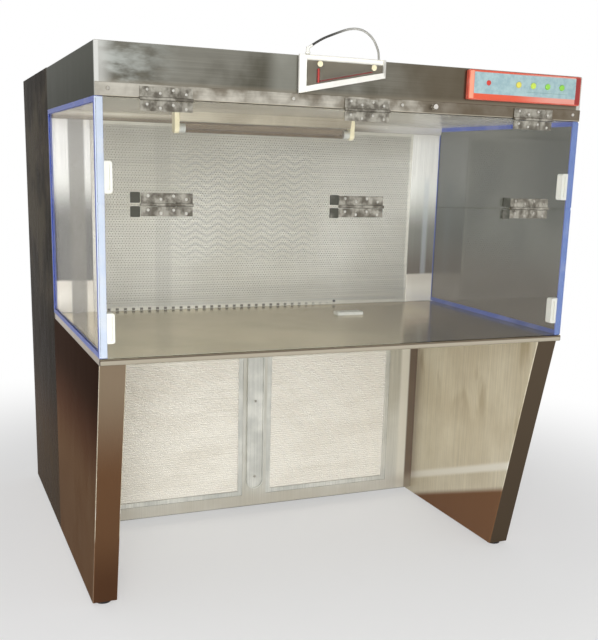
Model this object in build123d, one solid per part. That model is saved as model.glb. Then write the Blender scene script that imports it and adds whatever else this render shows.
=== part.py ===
from build123d import *
from math import acos, cos, pi, sin, tan
import os

# Horizontal laminar flow clean bench. Millimetres, +Z up, +X to the operator's right, +Y to the back.
# The geometry below is laid out from the front plane of the canopy (y = 0) and the floor (z = 0).
# On export everything moves by Y_SHIFT, so the origin is on the floor under the middle of the bench.

# ---- driving dimensions: whole bench ----
WIDTH = 1400.0
HEIGHT = 1510.0
DEPTH = 1390.0
CANOPY_DEPTH = 780.0
CANOPY_HEIGHT = 125.0
WORKTOP_HEIGHT = 755.0
FOOT_HEIGHT = 10.0
SHEET = 1.5
BEND = 4.0

# ---- work zone ----
DIFFUSER_Y = 757.0
DIFFUSER_WIDTH = 1150.0
DIFFUSER_TOP_GAP = 25.0
DIFFUSER_RETURN = 14.0
WORKTOP_NOSE = 3.0
WORKTOP_LIP = 18.0

# ---- stands and knee space ----
STAND_WIDTH = 70.0
STAND_TOP_SETBACK = 13.0
STAND_FOOT_SETBACK = 185.0
KNEE_WALL_Y = 735.0
KNEE_WALL_SILL = 60.0
WINDOW_WIDTH = 490.0
WINDOW_TOP_GAP = 27.0
MULLION_WIDTH = 90.0
MULLION_X = -20.0
CHANNEL_WIDTH = 62.0
CHANNEL_DEPTH = 8.0
CHANNEL_LIFT = 85.0
PREFILTER_DEPTH = 38.0
PREFILTER_BORDER = 16.0
PREFILTER_PITCH = 12.8
PREFILTER_GAP = 0.3
FOOT_RADIUS = 22.0

# ---- side windows ----
PANE = 5.0
TRIM_THICKNESS = 9.0
TRIM_BAND = 13.0
TRIM_SLOT = 8.0
TRIM_FRONT_GAP = 4.0
TRIM_FLANGE_WIDTH = 20.0
TRIM_FLANGE = 3.0

# ---- bi-fold door and its hinges ----
DOOR = 6.0
DOOR_SIDE_GAP = 3.0
DOOR_EDGE_GAP = 2.0
FOLD_DROP = 250.0
RAIL_HEIGHT = 32.0
RAIL = 3.0
HINGE_WIDTH = 130.0
HINGE_LEAF_HEIGHT = 28.0
HINGE_LEAF = 2.5
KNUCKLE_RADIUS = 4.5
KNUCKLES = 3
KNUCKLE_GAP = 0.4
KNUCKLE_CLEARANCE = 0.3
PIN_RADIUS = 2.0
PIN_CLEARANCE = 0.08
PIN_HEAD = 1.6
TOP_HINGE_XS = (-528.0, 10.0, 535.0)
FOLD_HINGE_XS = (-528.0, 3.0, 545.0)
BUMPER_WIDTH = 23.0
BUMPER_HEIGHT = 26.0
BUMPER_DEPTH = 6.0
BUMPER_GAP = 4.0

# ---- catches ----
CATCH_WIDTH = 31.0
CATCH_HEIGHT = 76.0
CATCH_DEPTH = 24.0
CATCH_ROUND = 6.0
CATCH_LIFTS = (481.0, 113.0)

# ---- manometer ----
MANO_LEFT = -187.0
MANO_RIGHT = 57.0
MANO_RISE = 2.0
MANO_LEFT_HEIGHT = 95.0
MANO_RIGHT_HEIGHT = 45.0
MANO_BODY = 22.0
MANO_STANDOFF = 2.0
MANO_BEVEL = 14.0
MANO_KNOB_PROUD = 3.0
MANO_KNOB_RADIUS = 7.5
MANO_WELL_X = -133.0
MANO_WELL_DROP = 66.0
MANO_WELL_RADIUS = 4.0
MANO_BORE_RADIUS = 2.6
MANO_BORE_END_X = 6.0
MANO_BORE_END_DROP = 27.0

# ---- pressure tube ----
TUBE_DIAMETER = 6.0
TUBE_BEND_SHARE = 0.45
NIPPLE_RADIUS = 5.0
TUBE_ROUTE = [
    (x, y, HEIGHT + rise) for x, y, rise in (
        (-156, -13, 24), (-132, -10, 40), (-88, 2, 58), (-34, 21, 78), (12, 42, 80),
        (52, 65, 66), (76, 82, 43), (84, 87, 26), (84, 87, 7),
    )
]

# ---- control box ----
BOX_LEFT = 311.0
BOX_RIGHT = 687.0
BOX_TOP_GAP = 3.0
BOX_HEIGHT = 79.0
BOX_DEPTH = 12.0
BOX_WALL = 2.0
PLATE_INSET = 3.0
PLATE = 1.0
BUTTON_RADIUS = 8.0
BUTTON_PROUD = 4.0
BUTTON_TRAVEL = 2.0
BUTTON_CLEARANCE = 0.3
BUTTON_FLANGE = 1.5
BUTTON_XS = (472.0, 521.0, 570.0, 619.0)
LAMP_X = 374.0
LAMP_RADIUS = 7.0
CONTROLS_DROP = 33.0

# ---- light under the canopy ----
BATTEN_LENGTH = 586.0
BATTEN_X = -84.0
BATTEN_Y = 500.0
BATTEN_WIDTH = 46.0
BATTEN_HEIGHT = 28.0
TUBE_LAMP_RADIUS = 13.0
TUBE_LAMP_DROP = 19.0
HOLDER_THICKNESS = 14.0
HOLDER_WIDTH = 32.0

# ---- filter, deck and blower ----
CASING_FLANGE = 25.0
DECK_SKIRT = 22.0
HEPA_DEPTH = 150.0
HEPA_WIDTH = 1190.0
HEPA_WALL = 20.0
HEPA_PITCH = 26.0
HEPA_PACK_INSET = 12.0
BLOWER_Y = 1085.0
BLOWER_DROP = 282.0
BLOWER_WIDTH = 270.0
SCROLL_START = 176.0
SCROLL_END = 255.0
SCROLL_ARCS = 4
TONGUE_ANGLE = 75.0
IMPELLER_RADIUS = 160.0
IMPELLER_INNER = 134.0
IMPELLER_WIDTH = 240.0
BLADES = 24
BLADE_SCOOP = 5.0
BLADE = 1.6
RING = 6.0
HUB_RADIUS = 26.0
SHAFT_RADIUS = 10.0
SHAFT_CLEARANCE = 0.08
INLET_RADIUS = 130.0
MOTOR_RADIUS = 72.0
MOTOR_LENGTH = 150.0
MOTOR_GAP = 24.0
MOTOR_ARM = 12.0
GLAND_PROUD = 22.0
GLAND_Z = 140.0
GLAND_X = 560.0
PANEL = 1.5
PANEL_RAISE = 6.0
BASE_HEIGHT = 50.0
BASE_SHEET = 3.0

# ---- small pieces ----
KNOB_X = 209.0
KNOB_RADIUS = 8.5
SERVICE_PLATE = (94.0, 40.0, 10.0)
SERVICE_PLATE_CENTRE = (231.0, 525.0)

# ---- derived places ----
HALF = WIDTH / 2
CANOPY_Z = HEIGHT - CANOPY_HEIGHT
STAND_TOP = WORKTOP_HEIGHT - WORKTOP_LIP
DECK_Z = WORKTOP_HEIGHT - 3.0
DIFFUSER_TOP = CANOPY_Z - DIFFUSER_TOP_GAP
WINDOW_HEIGHT = STAND_TOP - FOOT_HEIGHT - KNEE_WALL_SILL - WINDOW_TOP_GAP
BLOWER_Z = DECK_Z - BLOWER_DROP
DOOR_FACE_Y = -RAIL
AXIS_Y = DOOR_FACE_Y - KNUCKLE_RADIUS
TOP_AXIS_Z = CANOPY_Z - DOOR_EDGE_GAP / 2
FOLD_AXIS_Z = CANOPY_Z - FOLD_DROP
MANO_TOP = HEIGHT + MANO_RISE
MANO_WELL_FOOT = MANO_TOP - MANO_WELL_DROP
MANO_PROUD = MANO_STANDOFF + MANO_BODY + MANO_KNOB_PROUD
MANO_MID_Y = -(MANO_STANDOFF + MANO_BODY / 2)
BOX_TOP = HEIGHT - BOX_TOP_GAP
BOX_BOTTOM = BOX_TOP - BOX_HEIGHT
CONTROLS_Z = BOX_TOP - CONTROLS_DROP
Y_SHIFT = -(DEPTH + PANEL_RAISE + GLAND_PROUD - MANO_PROUD) / 2


def block(x0, x1, y0, y1, z0, z1):
    """Box between two corners."""
    return Pos((x0 + x1) / 2, (y0 + y1) / 2, (z0 + z1) / 2) * Box(x1 - x0, y1 - y0, z1 - z0)


def rod_x(radius, x0, x1, y, z):
    """Round bar along X."""
    return Pos((x0 + x1) / 2, y, z) * Rot(0, 90, 0) * Cylinder(radius, x1 - x0)


def rod_y(radius, x, y0, y1, z):
    """Round bar along Y."""
    return Pos(x, (y0 + y1) / 2, z) * Rot(90, 0, 0) * Cylinder(radius, y1 - y0)


def rod_z(radius, x, y, z0, z1):
    """Round bar along Z."""
    return Pos(x, y, (z0 + z1) / 2) * Cylinder(radius, z1 - z0)


def rod_between(radius, start, end):
    """Round bar from one point to another."""
    run = Vector(*end) - Vector(*start)
    return extrude(Plane(origin=start, z_dir=run) * Circle(radius), amount=run.length)


def side_profile(points, x0, x1):
    """Closed outline in (y, z), extruded along X."""
    face = make_face(Polyline(*points, close=True))
    return Pos(x0, 0, 0) * extrude(Plane.YZ * face, amount=x1 - x0)


def front_profile(points, y0, y1):
    """Closed outline in (x, z), extruded along Y from y0 to y1."""
    face = make_face(Polyline(*points, close=True))
    return Pos(0, y1, 0) * extrude(Plane.XZ * face, amount=y1 - y0)


def bent_sheet(points, thickness, bend):
    """Face of a folded sheet: the line through the points with bent corners, thickened to its left."""
    path = FilletPolyline(*points, radius=bend)
    return make_face(offset(path, amount=thickness, side=Side.LEFT, closed=True))


# ---------------------------------------------------------------- sheet metal

def make_canopy_shell():
    body = block(-HALF, HALF, 0, CANOPY_DEPTH, CANOPY_Z, HEIGHT)
    corners = body.edges().filter_by(Axis.Z).group_by(Axis.Y)[0]
    crown = body.faces().sort_by(Axis.Z)[-1].edges().filter_by(lambda e: e.center().Y < CANOPY_DEPTH - 1)
    body = fillet(corners + crown, BEND)
    opened = [body.faces().sort_by(Axis.Z)[0], body.faces().sort_by(Axis.Y)[-1]]
    shell = offset(body, amount=-SHEET, openings=opened)
    return_lip = block(-HALF + SHEET, HALF - SHEET, SHEET / 2, WORKTOP_LIP, CANOPY_Z, CANOPY_Z + SHEET)
    nipple_hole = rod_z(NIPPLE_RADIUS - 1, *TUBE_ROUTE[-1][:2], HEIGHT - BEND, HEIGHT + 1)
    return shell + return_lip - nipple_hole


def make_canopy_soffit():
    front, back = WORKTOP_LIP + 0.3, DIFFUSER_Y
    outline = [
        (front, CANOPY_Z + BEND * 4),
        (front, CANOPY_Z),
        (back, CANOPY_Z),
        (back, DIFFUSER_TOP),
        (back + DIFFUSER_RETURN, DIFFUSER_TOP),
    ]
    half = HALF - TRIM_THICKNESS
    return Pos(-half, 0, 0) * extrude(Plane.YZ * bent_sheet(outline, SHEET, BEND / 2), amount=2 * half)


def make_hinge_rail():
    rail = block(-HALF + SHEET, HALF - SHEET, -RAIL, 0, CANOPY_Z, CANOPY_Z + RAIL_HEIGHT)
    front_edges = rail.faces().sort_by(Axis.Y)[0].edges().filter_by(Axis.X)
    return chamfer(front_edges, RAIL / 3)


def make_cabinet_casing():
    front, bottom = CANOPY_DEPTH, FOOT_HEIGHT
    body = block(-HALF, HALF, front, DEPTH, bottom, HEIGHT)
    upright = body.edges().filter_by(Axis.Z)
    body = fillet(upright, BEND / 2)
    shell = offset(body, amount=-SHEET, openings=body.faces().sort_by(Axis.Z)[0])
    inner = HALF - CASING_FLANGE
    filter_window = block(-HEPA_WIDTH / 2 + HEPA_PACK_INSET, HEPA_WIDTH / 2 - HEPA_PACK_INSET,
                          front - 1, front + 5, DECK_Z + HEPA_PACK_INSET, CANOPY_Z - HEPA_PACK_INSET)
    suction_window = block(MULLION_X - MULLION_WIDTH / 2 - WINDOW_WIDTH, MULLION_X + MULLION_WIDTH / 2 + WINDOW_WIDTH,
                           front - 1, front + 5, FOOT_HEIGHT + KNEE_WALL_SILL, STAND_TOP - CASING_FLANGE)
    upper_hatch = block(-inner, inner, DEPTH - 5, DEPTH + 1, DECK_Z + CASING_FLANGE, HEIGHT - CASING_FLANGE)
    lower_hatch = block(-inner, inner, DEPTH - 5, DEPTH + 1, bottom + BASE_HEIGHT, DECK_Z - CASING_FLANGE)
    return shell - filter_window - suction_window - upper_hatch - lower_hatch


def pressed_panel(z0, z1):
    """Back panel with a raised field pressed out of one sheet."""
    half = HALF - CASING_FLANGE / 2
    margin = 40.0
    sheet = block(-half, half, DEPTH, DEPTH + PANEL, z0, z1)

    def raised(grow, y0, height):
        centre = Plane(origin=(0, y0, (z0 + z1) / 2), x_dir=(1, 0, 0), z_dir=(0, 1, 0))
        wide = 2 * (half - margin + grow)
        tall = z1 - z0 - 2 * (margin - grow)
        return extrude(centre * Rectangle(wide, tall), amount=height, taper=45)

    return sheet + raised(0, DEPTH, PANEL_RAISE) - raised(-PANEL, DEPTH - 0.01, PANEL_RAISE - PANEL)


def make_base_pan():
    """Shallow pan that closes the cabinet below and stands on the feet."""
    front, back = CANOPY_DEPTH + SHEET, DEPTH - SHEET
    half = HALF - SHEET
    z0, z1 = FOOT_HEIGHT, FOOT_HEIGHT + BASE_HEIGHT - 2
    pan = block(-half, half, front, back, z0, z1)
    pan = fillet(pan.edges().filter_by(Axis.Z), BEND / 2)
    return offset(pan, amount=-BASE_SHEET, openings=pan.faces().sort_by(Axis.Z)[-1])


def make_blower_deck():
    half = HALF - SHEET
    front, back = CANOPY_DEPTH + SHEET, DEPTH - SHEET
    deck = block(-half, half, front, back, DECK_Z - DECK_SKIRT, DECK_Z)
    deck = fillet(deck.edges().filter_by(Axis.Z), BEND / 2)
    deck -= block(-half + SHEET, half - SHEET, front + SHEET, back - SHEET, DECK_Z - DECK_SKIRT - 1, DECK_Z - SHEET)
    inner = BLOWER_WIDTH / 2 - SHEET
    outlet = block(-inner, inner, BLOWER_Y + SCROLL_START * cos(TONGUE_ANGLE * pi / 180) + SHEET,
                   BLOWER_Y + SCROLL_END - SHEET, DECK_Z - 5, DECK_Z + 1)
    return deck - outlet


def make_worktop():
    lip_z = WORKTOP_HEIGHT - WORKTOP_LIP
    outline = [
        (18.0, lip_z),
        (-WORKTOP_NOSE, lip_z),
        (-WORKTOP_NOSE, WORKTOP_HEIGHT),
        (DIFFUSER_Y - 0.3, WORKTOP_HEIGHT),
        (DIFFUSER_Y - 0.3, lip_z),
    ]
    face = make_face(offset(FilletPolyline(*outline, radius=BEND), amount=SHEET, side=Side.RIGHT, closed=True))
    tray = Pos(-HALF, 0, 0) * extrude(Plane.YZ * face, amount=WIDTH)
    for side in (-1, 1):
        x0, x1 = sorted((side * HALF, side * (HALF - SHEET)))
        tray += block(x0, x1, BEND, DIFFUSER_Y - 2, lip_z, WORKTOP_HEIGHT - SHEET / 2)
    return tray


def make_stand(side):
    """Hollow leg box with a raked front edge, open at the back."""
    x0, x1 = sorted((side * HALF, side * (HALF - STAND_WIDTH)))
    outline = [
        (STAND_TOP_SETBACK, STAND_TOP),
        (STAND_FOOT_SETBACK, FOOT_HEIGHT),
        (CANOPY_DEPTH, FOOT_HEIGHT),
        (CANOPY_DEPTH, STAND_TOP),
    ]
    body = side_profile(outline, x0, x1)
    raked = [e for e in body.edges() if e.center().Y < STAND_FOOT_SETBACK and e.length > STAND_WIDTH * 2]
    body = fillet(raked, BEND)
    return offset(body, amount=-SHEET, openings=body.faces().sort_by(Axis.Y)[-1])


def make_levelling_feet():
    feet = []
    stand_x = HALF - STAND_WIDTH / 2
    for x in (-stand_x, stand_x):
        for y in (STAND_FOOT_SETBACK + FOOT_RADIUS + 8, CANOPY_DEPTH - 60, DEPTH - 60):
            feet.append(rod_z(FOOT_RADIUS, x, y, 0, FOOT_HEIGHT))
    return Compound(children=feet)


def window_span(index):
    """Left and right edge of a pre-filter window."""
    if index == 0:
        right = MULLION_X - MULLION_WIDTH / 2
        return right - WINDOW_WIDTH, right
    left = MULLION_X + MULLION_WIDTH / 2
    return left, left + WINDOW_WIDTH


def make_knee_wall():
    half = HALF - STAND_WIDTH - 0.3
    z0, z1 = FOOT_HEIGHT + KNEE_WALL_SILL / 3, STAND_TOP - 0.3
    body = block(-half, half, KNEE_WALL_Y, CANOPY_DEPTH - 0.3, z0, z1)
    wall = offset(body, amount=-SHEET, openings=body.faces().sort_by(Axis.Y)[-1])
    sill = FOOT_HEIGHT + KNEE_WALL_SILL
    for index in (0, 1):
        left, right = window_span(index)
        wall -= block(left, right, KNEE_WALL_Y - 1, KNEE_WALL_Y + 5, sill, sill + WINDOW_HEIGHT)
    return wall


def make_mullion_channel():
    """Shallow cover channel with a rounded lower end."""
    z0, z1 = FOOT_HEIGHT + CHANNEL_LIFT, STAND_TOP - 1
    radius = CHANNEL_WIDTH / 2

    def outline(inset, top):
        r = radius - inset
        rect = Pos(0, (z0 + radius + top) / 2) * Rectangle(2 * r, top - z0 - radius)
        return rect + Pos(0, z0 + radius) * Circle(r)

    y0 = KNEE_WALL_Y - CHANNEL_DEPTH
    cover = Pos(MULLION_X, KNEE_WALL_Y, 0) * extrude(Plane.XZ * outline(0, z1), amount=CHANNEL_DEPTH)
    trough = Pos(MULLION_X, y0 + CHANNEL_DEPTH - SHEET * 2, 0) * extrude(
        Plane.XZ * outline(SHEET * 2, z1 + 5), amount=CHANNEL_DEPTH)
    return cover - trough


def prefilter_box(index):
    left, right = window_span(index)
    sill = FOOT_HEIGHT + KNEE_WALL_SILL
    gap = PREFILTER_GAP
    return left + gap, right - gap, sill + gap, sill + WINDOW_HEIGHT - gap


def make_prefilter_frame(index):
    x0, x1, z0, z1 = prefilter_box(index)
    y0 = KNEE_WALL_Y + SHEET
    border = PREFILTER_BORDER
    frame = block(x0, x1, y0, y0 + PREFILTER_DEPTH, z0, z1)
    frame -= block(x0 + border, x1 - border, y0 - 1, y0 + PREFILTER_DEPTH + 1, z0 + border, z1 - border)
    groove = block(x0 + 2, x1 - 2, y0 + 2, y0 + PREFILTER_DEPTH - 2, z0 + 2, z1 - 2)
    return frame - groove


def zigzag(length, pitch, depth, thickness):
    """Closed outline of a pleated sheet: along +X by length, folded across Y by depth."""
    folds = int(length // pitch)
    step = length / folds / 2
    front = [(i * step, 0.0 if i % 2 == 0 else depth - thickness) for i in range(2 * folds + 1)]
    back = [(x, y + thickness) for x, y in reversed(front)]
    return make_face(Polyline(*front, *back, close=True))


def make_prefilter_media(index):
    x0, x1, z0, z1 = prefilter_box(index)
    inset = 2.2
    depth = PREFILTER_DEPTH - 2 * inset
    tall = z1 - z0 - 2 * inset
    pleats = zigzag(tall, PREFILTER_PITCH, depth * 0.5, 4.0)
    face = Plane(origin=(x0 + inset, KNEE_WALL_Y + SHEET + inset, z0 + inset), x_dir=(0, 0, 1), z_dir=(1, 0, 0)) * pleats
    solid = extrude(face, amount=x1 - x0 - 2 * inset)
    low = solid.bounding_box().min.Y
    return Pos(0, KNEE_WALL_Y + SHEET + inset - low, 0) * solid


# ---------------------------------------------------------------- filter and blower

def hepa_box():
    y0 = CANOPY_DEPTH + SHEET
    return -HEPA_WIDTH / 2, HEPA_WIDTH / 2, y0, y0 + HEPA_DEPTH, DECK_Z, CANOPY_Z


def make_hepa_frame():
    x0, x1, y0, y1, z0, z1 = hepa_box()
    wall = HEPA_WALL
    frame = block(x0, x1, y0, y1, z0, z1)
    frame -= block(x0 + wall, x1 - wall, y0 - 1, y1 + 1, z0 + wall, z1 - wall)
    groove = block(x0 + 4, x1 - 4, y0 + 10, y1 - 10, z0 + 4, z1 - 4)
    return frame - groove


def make_hepa_media():
    x0, x1, y0, y1, z0, z1 = hepa_box()
    inset = 4.3
    pleats = zigzag(x1 - x0 - 2 * inset, HEPA_PITCH, HEPA_DEPTH - 22, 5.0)
    return Pos(x0 + inset, y0 + 11, z0 + inset) * extrude(pleats, amount=z1 - z0 - 2 * inset)


def make_diffuser_screen():
    half = DIFFUSER_WIDTH / 2
    body = block(-half, half, DIFFUSER_Y, DIFFUSER_Y + DIFFUSER_RETURN, WORKTOP_HEIGHT, DIFFUSER_TOP - 0.3)
    upright = body.faces().sort_by(Axis.Y)[0].edges()
    body = fillet(upright, BEND / 2)
    return offset(body, amount=-1.0, openings=body.faces().sort_by(Axis.Y)[-1])


def make_jamb(side):
    inner = DIFFUSER_WIDTH / 2 + 0.5
    outer = HALF - TRIM_THICKNESS - 0.3
    outline = [
        (inner, CANOPY_DEPTH),
        (inner, DIFFUSER_Y),
        (inner + 26.0, DIFFUSER_Y),
        (outer - 12.0, DIFFUSER_Y + 9.0),
        (outer, DIFFUSER_Y + 9.0),
        (outer, CANOPY_DEPTH),
    ]
    height = DIFFUSER_TOP - 0.3 - WORKTOP_HEIGHT
    jamb = Pos(0, 0, WORKTOP_HEIGHT) * extrude(bent_sheet(outline, SHEET, 2.5), amount=height)
    return jamb if side > 0 else mirror(jamb, about=Plane.YZ)


def scroll_face(inset):
    """Blower housing side view in (y, z) about the shaft: a growing spiral that runs into a straight outlet."""
    tongue_y = SCROLL_START * cos(TONGUE_ANGLE * pi / 180) + inset
    first = acos(tongue_y / (SCROLL_START - inset))
    rise = DECK_Z - SHEET - BLOWER_Z + inset

    def at(share):
        angle = first + (2 * pi - first) * share
        radius = SCROLL_START + (SCROLL_END - SCROLL_START) * share - inset
        return radius * cos(angle), radius * sin(angle)

    outline = Polyline(at(1), (SCROLL_END - inset, rise), (tongue_y, rise), at(0))
    for i in range(SCROLL_ARCS):
        outline += ThreePointArc(at(i / SCROLL_ARCS), at((i + 0.5) / SCROLL_ARCS), at((i + 1) / SCROLL_ARCS))
    return make_face(outline)


def make_blower_scroll():
    half = BLOWER_WIDTH / 2
    place = Pos(-half, BLOWER_Y, BLOWER_Z)
    shell = place * extrude(Plane.YZ * scroll_face(0), amount=BLOWER_WIDTH)
    shell -= place * Pos(SHEET, 0, 0) * extrude(Plane.YZ * scroll_face(SHEET), amount=BLOWER_WIDTH - 2 * SHEET)
    return shell - rod_x(INLET_RADIUS, -half - 1, half + 1, BLOWER_Y, BLOWER_Z)


def make_blower_impeller():
    """Forward-curved wheel: two end rings, centre plate, hub, shaft and a ring of curved blades."""
    half = IMPELLER_WIDTH / 2
    mid = (IMPELLER_RADIUS + IMPELLER_INNER) / 2
    tip = IMPELLER_RADIUS - 1.5
    root = IMPELLER_INNER + 1.5
    scoop = [(root, 0), (mid, -BLADE_SCOOP), (tip, BLADE_SCOOP)]
    blade = make_face(offset(Polyline(*scoop), amount=BLADE, side=Side.LEFT, closed=True))
    wheel = extrude(Circle(IMPELLER_RADIUS) - Circle(IMPELLER_INNER), amount=RING)
    wheel += Pos(0, 0, IMPELLER_WIDTH - RING) * wheel
    wheel += Pos(0, 0, half - 1.5) * extrude(Circle(IMPELLER_RADIUS - 0.5), amount=3)
    for turn in PolarLocations(0, BLADES):
        wheel += turn * extrude(blade, amount=IMPELLER_WIDTH)
    wheel += Pos(0, 0, half) * Cylinder(HUB_RADIUS, 60)
    wheel = Pos(0, 0, -half) * wheel
    shaft_back = -(BLOWER_WIDTH / 2 + MOTOR_GAP + MOTOR_LENGTH * 0.5)
    shaft = Pos(0, 0, (shaft_back + half) / 2) * Cylinder(SHAFT_RADIUS, half - shaft_back)
    return Pos(0, BLOWER_Y, BLOWER_Z) * Rot(0, 90, 0) * (wheel + shaft)


def make_blower_motor():
    """Motor beside the left inlet, on three arms screwed to the scroll."""
    front = -(BLOWER_WIDTH / 2 + MOTOR_GAP)
    back = front - MOTOR_LENGTH
    motor = rod_x(MOTOR_RADIUS, back, front, BLOWER_Y, BLOWER_Z)
    motor = chamfer(motor.edges().filter_by(GeomType.CIRCLE), 8)
    reach = INLET_RADIUS + 28.0
    for turn in (90, 210, 330):
        arm = block(front - MOTOR_ARM, front, -MOTOR_ARM, MOTOR_ARM, MOTOR_RADIUS - 10, reach)
        foot = block(front - MOTOR_ARM, -BLOWER_WIDTH / 2, -MOTOR_ARM, MOTOR_ARM, reach - 12, reach)
        motor += Pos(0, BLOWER_Y, BLOWER_Z) * Rot(turn - 90, 0, 0) * (arm + foot)
    bore_depth = MOTOR_LENGTH * 0.5 + 2
    return motor - rod_x(SHAFT_RADIUS + SHAFT_CLEARANCE, front - bore_depth, front + 1, BLOWER_Y, BLOWER_Z)


def make_cable_gland():
    y0 = DEPTH + PANEL_RAISE
    gland = rod_y(14, GLAND_X, y0, y0 + 9, GLAND_Z) + rod_y(10, GLAND_X, y0 + 9, y0 + GLAND_PROUD, GLAND_Z)
    return gland - rod_y(4.5, GLAND_X, y0 + 4, y0 + GLAND_PROUD + 1, GLAND_Z)


# ---------------------------------------------------------------- side windows

def window_frame_limits():
    return TRIM_FRONT_GAP, CANOPY_DEPTH - 0.3, WORKTOP_HEIGHT, CANOPY_Z


def make_side_glass(side):
    y0, y1, z0, z1 = window_frame_limits()
    edge = TRIM_BAND - TRIM_SLOT
    outer = side * (HALF - (TRIM_THICKNESS - PANE) / 2)
    x0, x1 = sorted((outer, outer - side * PANE))
    return block(x0, x1, y0 + edge, y1 - edge, z0 + edge, z1 - edge)


def make_edge_trim(side):
    y0, y1, z0, z1 = window_frame_limits()
    x0, x1 = sorted((side * HALF, side * (HALF - TRIM_THICKNESS)))
    trim = block(x0, x1, y0, y1, z0, z1)
    trim -= block(x0 - 1, x1 + 1, y0 + TRIM_BAND, y1 - TRIM_BAND, z0 + TRIM_BAND, z1 - TRIM_BAND)
    f0, f1 = sorted((side * HALF, side * (HALF - TRIM_FLANGE_WIDTH)))
    trim += block(f0, f1, y0, y0 + TRIM_FLANGE, z0, z1)
    return trim - make_side_glass(side)


def make_magnetic_catches():
    """Plastic bodies on the inside of the window trims, with a strike slot in the face."""
    catches = []
    trim_inner = HALF - TRIM_THICKNESS
    y0 = TRIM_FRONT_GAP
    for side in (-1, 1):
        for lift in CATCH_LIFTS:
            top = WORKTOP_HEIGHT + lift
            x_out = side * trim_inner
            x_in = side * (trim_inner - CATCH_WIDTH)
            x0, x1 = sorted((x_out, x_in))
            body = block(x0, x1, y0, y0 + CATCH_DEPTH, top - CATCH_HEIGHT, top)
            inner_edges = body.edges().filter_by(Axis.Y).sort_by(lambda e: abs(e.center().X))[:2]
            body = fillet(inner_edges, CATCH_ROUND)
            f0, f1 = sorted((side * HALF, side * (HALF - TRIM_FLANGE_WIDTH - 0.3)))
            body -= block(f0, f1, y0 - 1, y0 + TRIM_FLANGE + 0.3, top - CATCH_HEIGHT - 1, top + 1)
            s0, s1 = sorted((side * (trim_inner - CATCH_WIDTH + 6), side * (trim_inner - CATCH_WIDTH + 12)))
            body -= block(s0, s1, y0 - 1, y0 + 5, top - CATCH_HEIGHT + 8, top - 8)
            catches.append(body)
    return Compound(children=catches)


# ---------------------------------------------------------------- door and hinges

def make_door_glass(z0, z1):
    half = HALF - DOOR_SIDE_GAP
    pane = block(-half, half, DOOR_FACE_Y, DOOR_FACE_Y + DOOR, z0, z1)
    return chamfer(pane.edges().filter_by(Axis.Y), 3.0)


def hinge_leaf(x, axis_z, upward, own):
    """One hinge leaf with its share of the knuckles. own picks every other knuckle."""
    lift = KNUCKLE_RADIUS + 0.5
    sign = 1 if upward else -1
    z0, z1 = sorted((axis_z + sign * lift, axis_z + sign * HINGE_LEAF_HEIGHT))
    left = x - HINGE_WIDTH / 2
    leaf = block(left, left + HINGE_WIDTH, DOOR_FACE_Y - HINGE_LEAF, DOOR_FACE_Y, z0, z1)
    pitch = HINGE_WIDTH / KNUCKLES
    knuckle = KNUCKLE_RADIUS - KNUCKLE_CLEARANCE
    for i in range(KNUCKLES):
        if i % 2 != own:
            continue
        a, b = left + i * pitch + KNUCKLE_GAP / 2, left + (i + 1) * pitch - KNUCKLE_GAP / 2
        w0, w1 = sorted((axis_z, axis_z + sign * (lift + 1)))
        leaf += rod_x(knuckle, a, b, AXIS_Y, axis_z)
        leaf += block(a, b, DOOR_FACE_Y - HINGE_LEAF, DOOR_FACE_Y, w0, w1)
    return leaf - rod_x(PIN_RADIUS + PIN_CLEARANCE, left - 1, left + HINGE_WIDTH + 1, AXIS_Y, axis_z)


def make_leaves(xs, axis_z, upward):
    own = 0 if upward else 1
    return Compound(children=[hinge_leaf(x, axis_z, upward, own) for x in xs])


def make_pins(xs, axis_z):
    pins = []
    for x in xs:
        left, right = x - HINGE_WIDTH / 2, x + HINGE_WIDTH / 2
        pin = rod_x(PIN_RADIUS, left, right, AXIS_Y, axis_z)
        pin += rod_x(KNUCKLE_RADIUS - 0.8, left - PIN_HEAD, left, AXIS_Y, axis_z)
        pin += rod_x(KNUCKLE_RADIUS - 0.8, right, right + PIN_HEAD, AXIS_Y, axis_z)
        pins.append(pin)
    return Compound(children=pins)


def make_bumpers(upward):
    sign = 1 if upward else -1
    pads = []
    for x in FOLD_HINGE_XS:
        right = x - HINGE_WIDTH / 2 - PIN_HEAD - 1.5
        z0, z1 = sorted((FOLD_AXIS_Z + sign * BUMPER_GAP, FOLD_AXIS_Z + sign * (BUMPER_GAP + BUMPER_HEIGHT)))
        pad = block(right - BUMPER_WIDTH, right, DOOR_FACE_Y - BUMPER_DEPTH, DOOR_FACE_Y, z0, z1)
        pads.append(fillet(pad.edges().filter_by(Axis.Y), 2.5))
    return Compound(children=pads)


# ---------------------------------------------------------------- manometer and tube

def mano_outline():
    return [
        (MANO_LEFT, MANO_TOP),
        (MANO_LEFT, MANO_TOP - MANO_LEFT_HEIGHT),
        (MANO_RIGHT, MANO_TOP - MANO_RIGHT_HEIGHT),
        (MANO_RIGHT, MANO_TOP),
    ]


def make_manometer_fluid():
    y = MANO_MID_Y
    well = rod_z(MANO_WELL_RADIUS, MANO_WELL_X, y, MANO_WELL_FOOT, MANO_TOP - 22)
    start = (MANO_WELL_X, y, MANO_WELL_FOOT + MANO_BORE_RADIUS)
    end = (MANO_BORE_END_X, y, MANO_TOP - MANO_BORE_END_DROP)
    return well + rod_between(MANO_BORE_RADIUS, start, end)


def make_manometer_body():
    back, mid = -MANO_STANDOFF, -(MANO_STANDOFF + MANO_BODY - MANO_BEVEL)
    face = make_face(Polyline(*mano_outline(), close=True))
    base = Pos(0, back, 0) * extrude(Plane.XZ * face, amount=back - mid)
    crown = Pos(0, mid, 0) * extrude(Plane.XZ * face, amount=MANO_BEVEL, taper=45)
    return base + crown - make_manometer_fluid()


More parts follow.
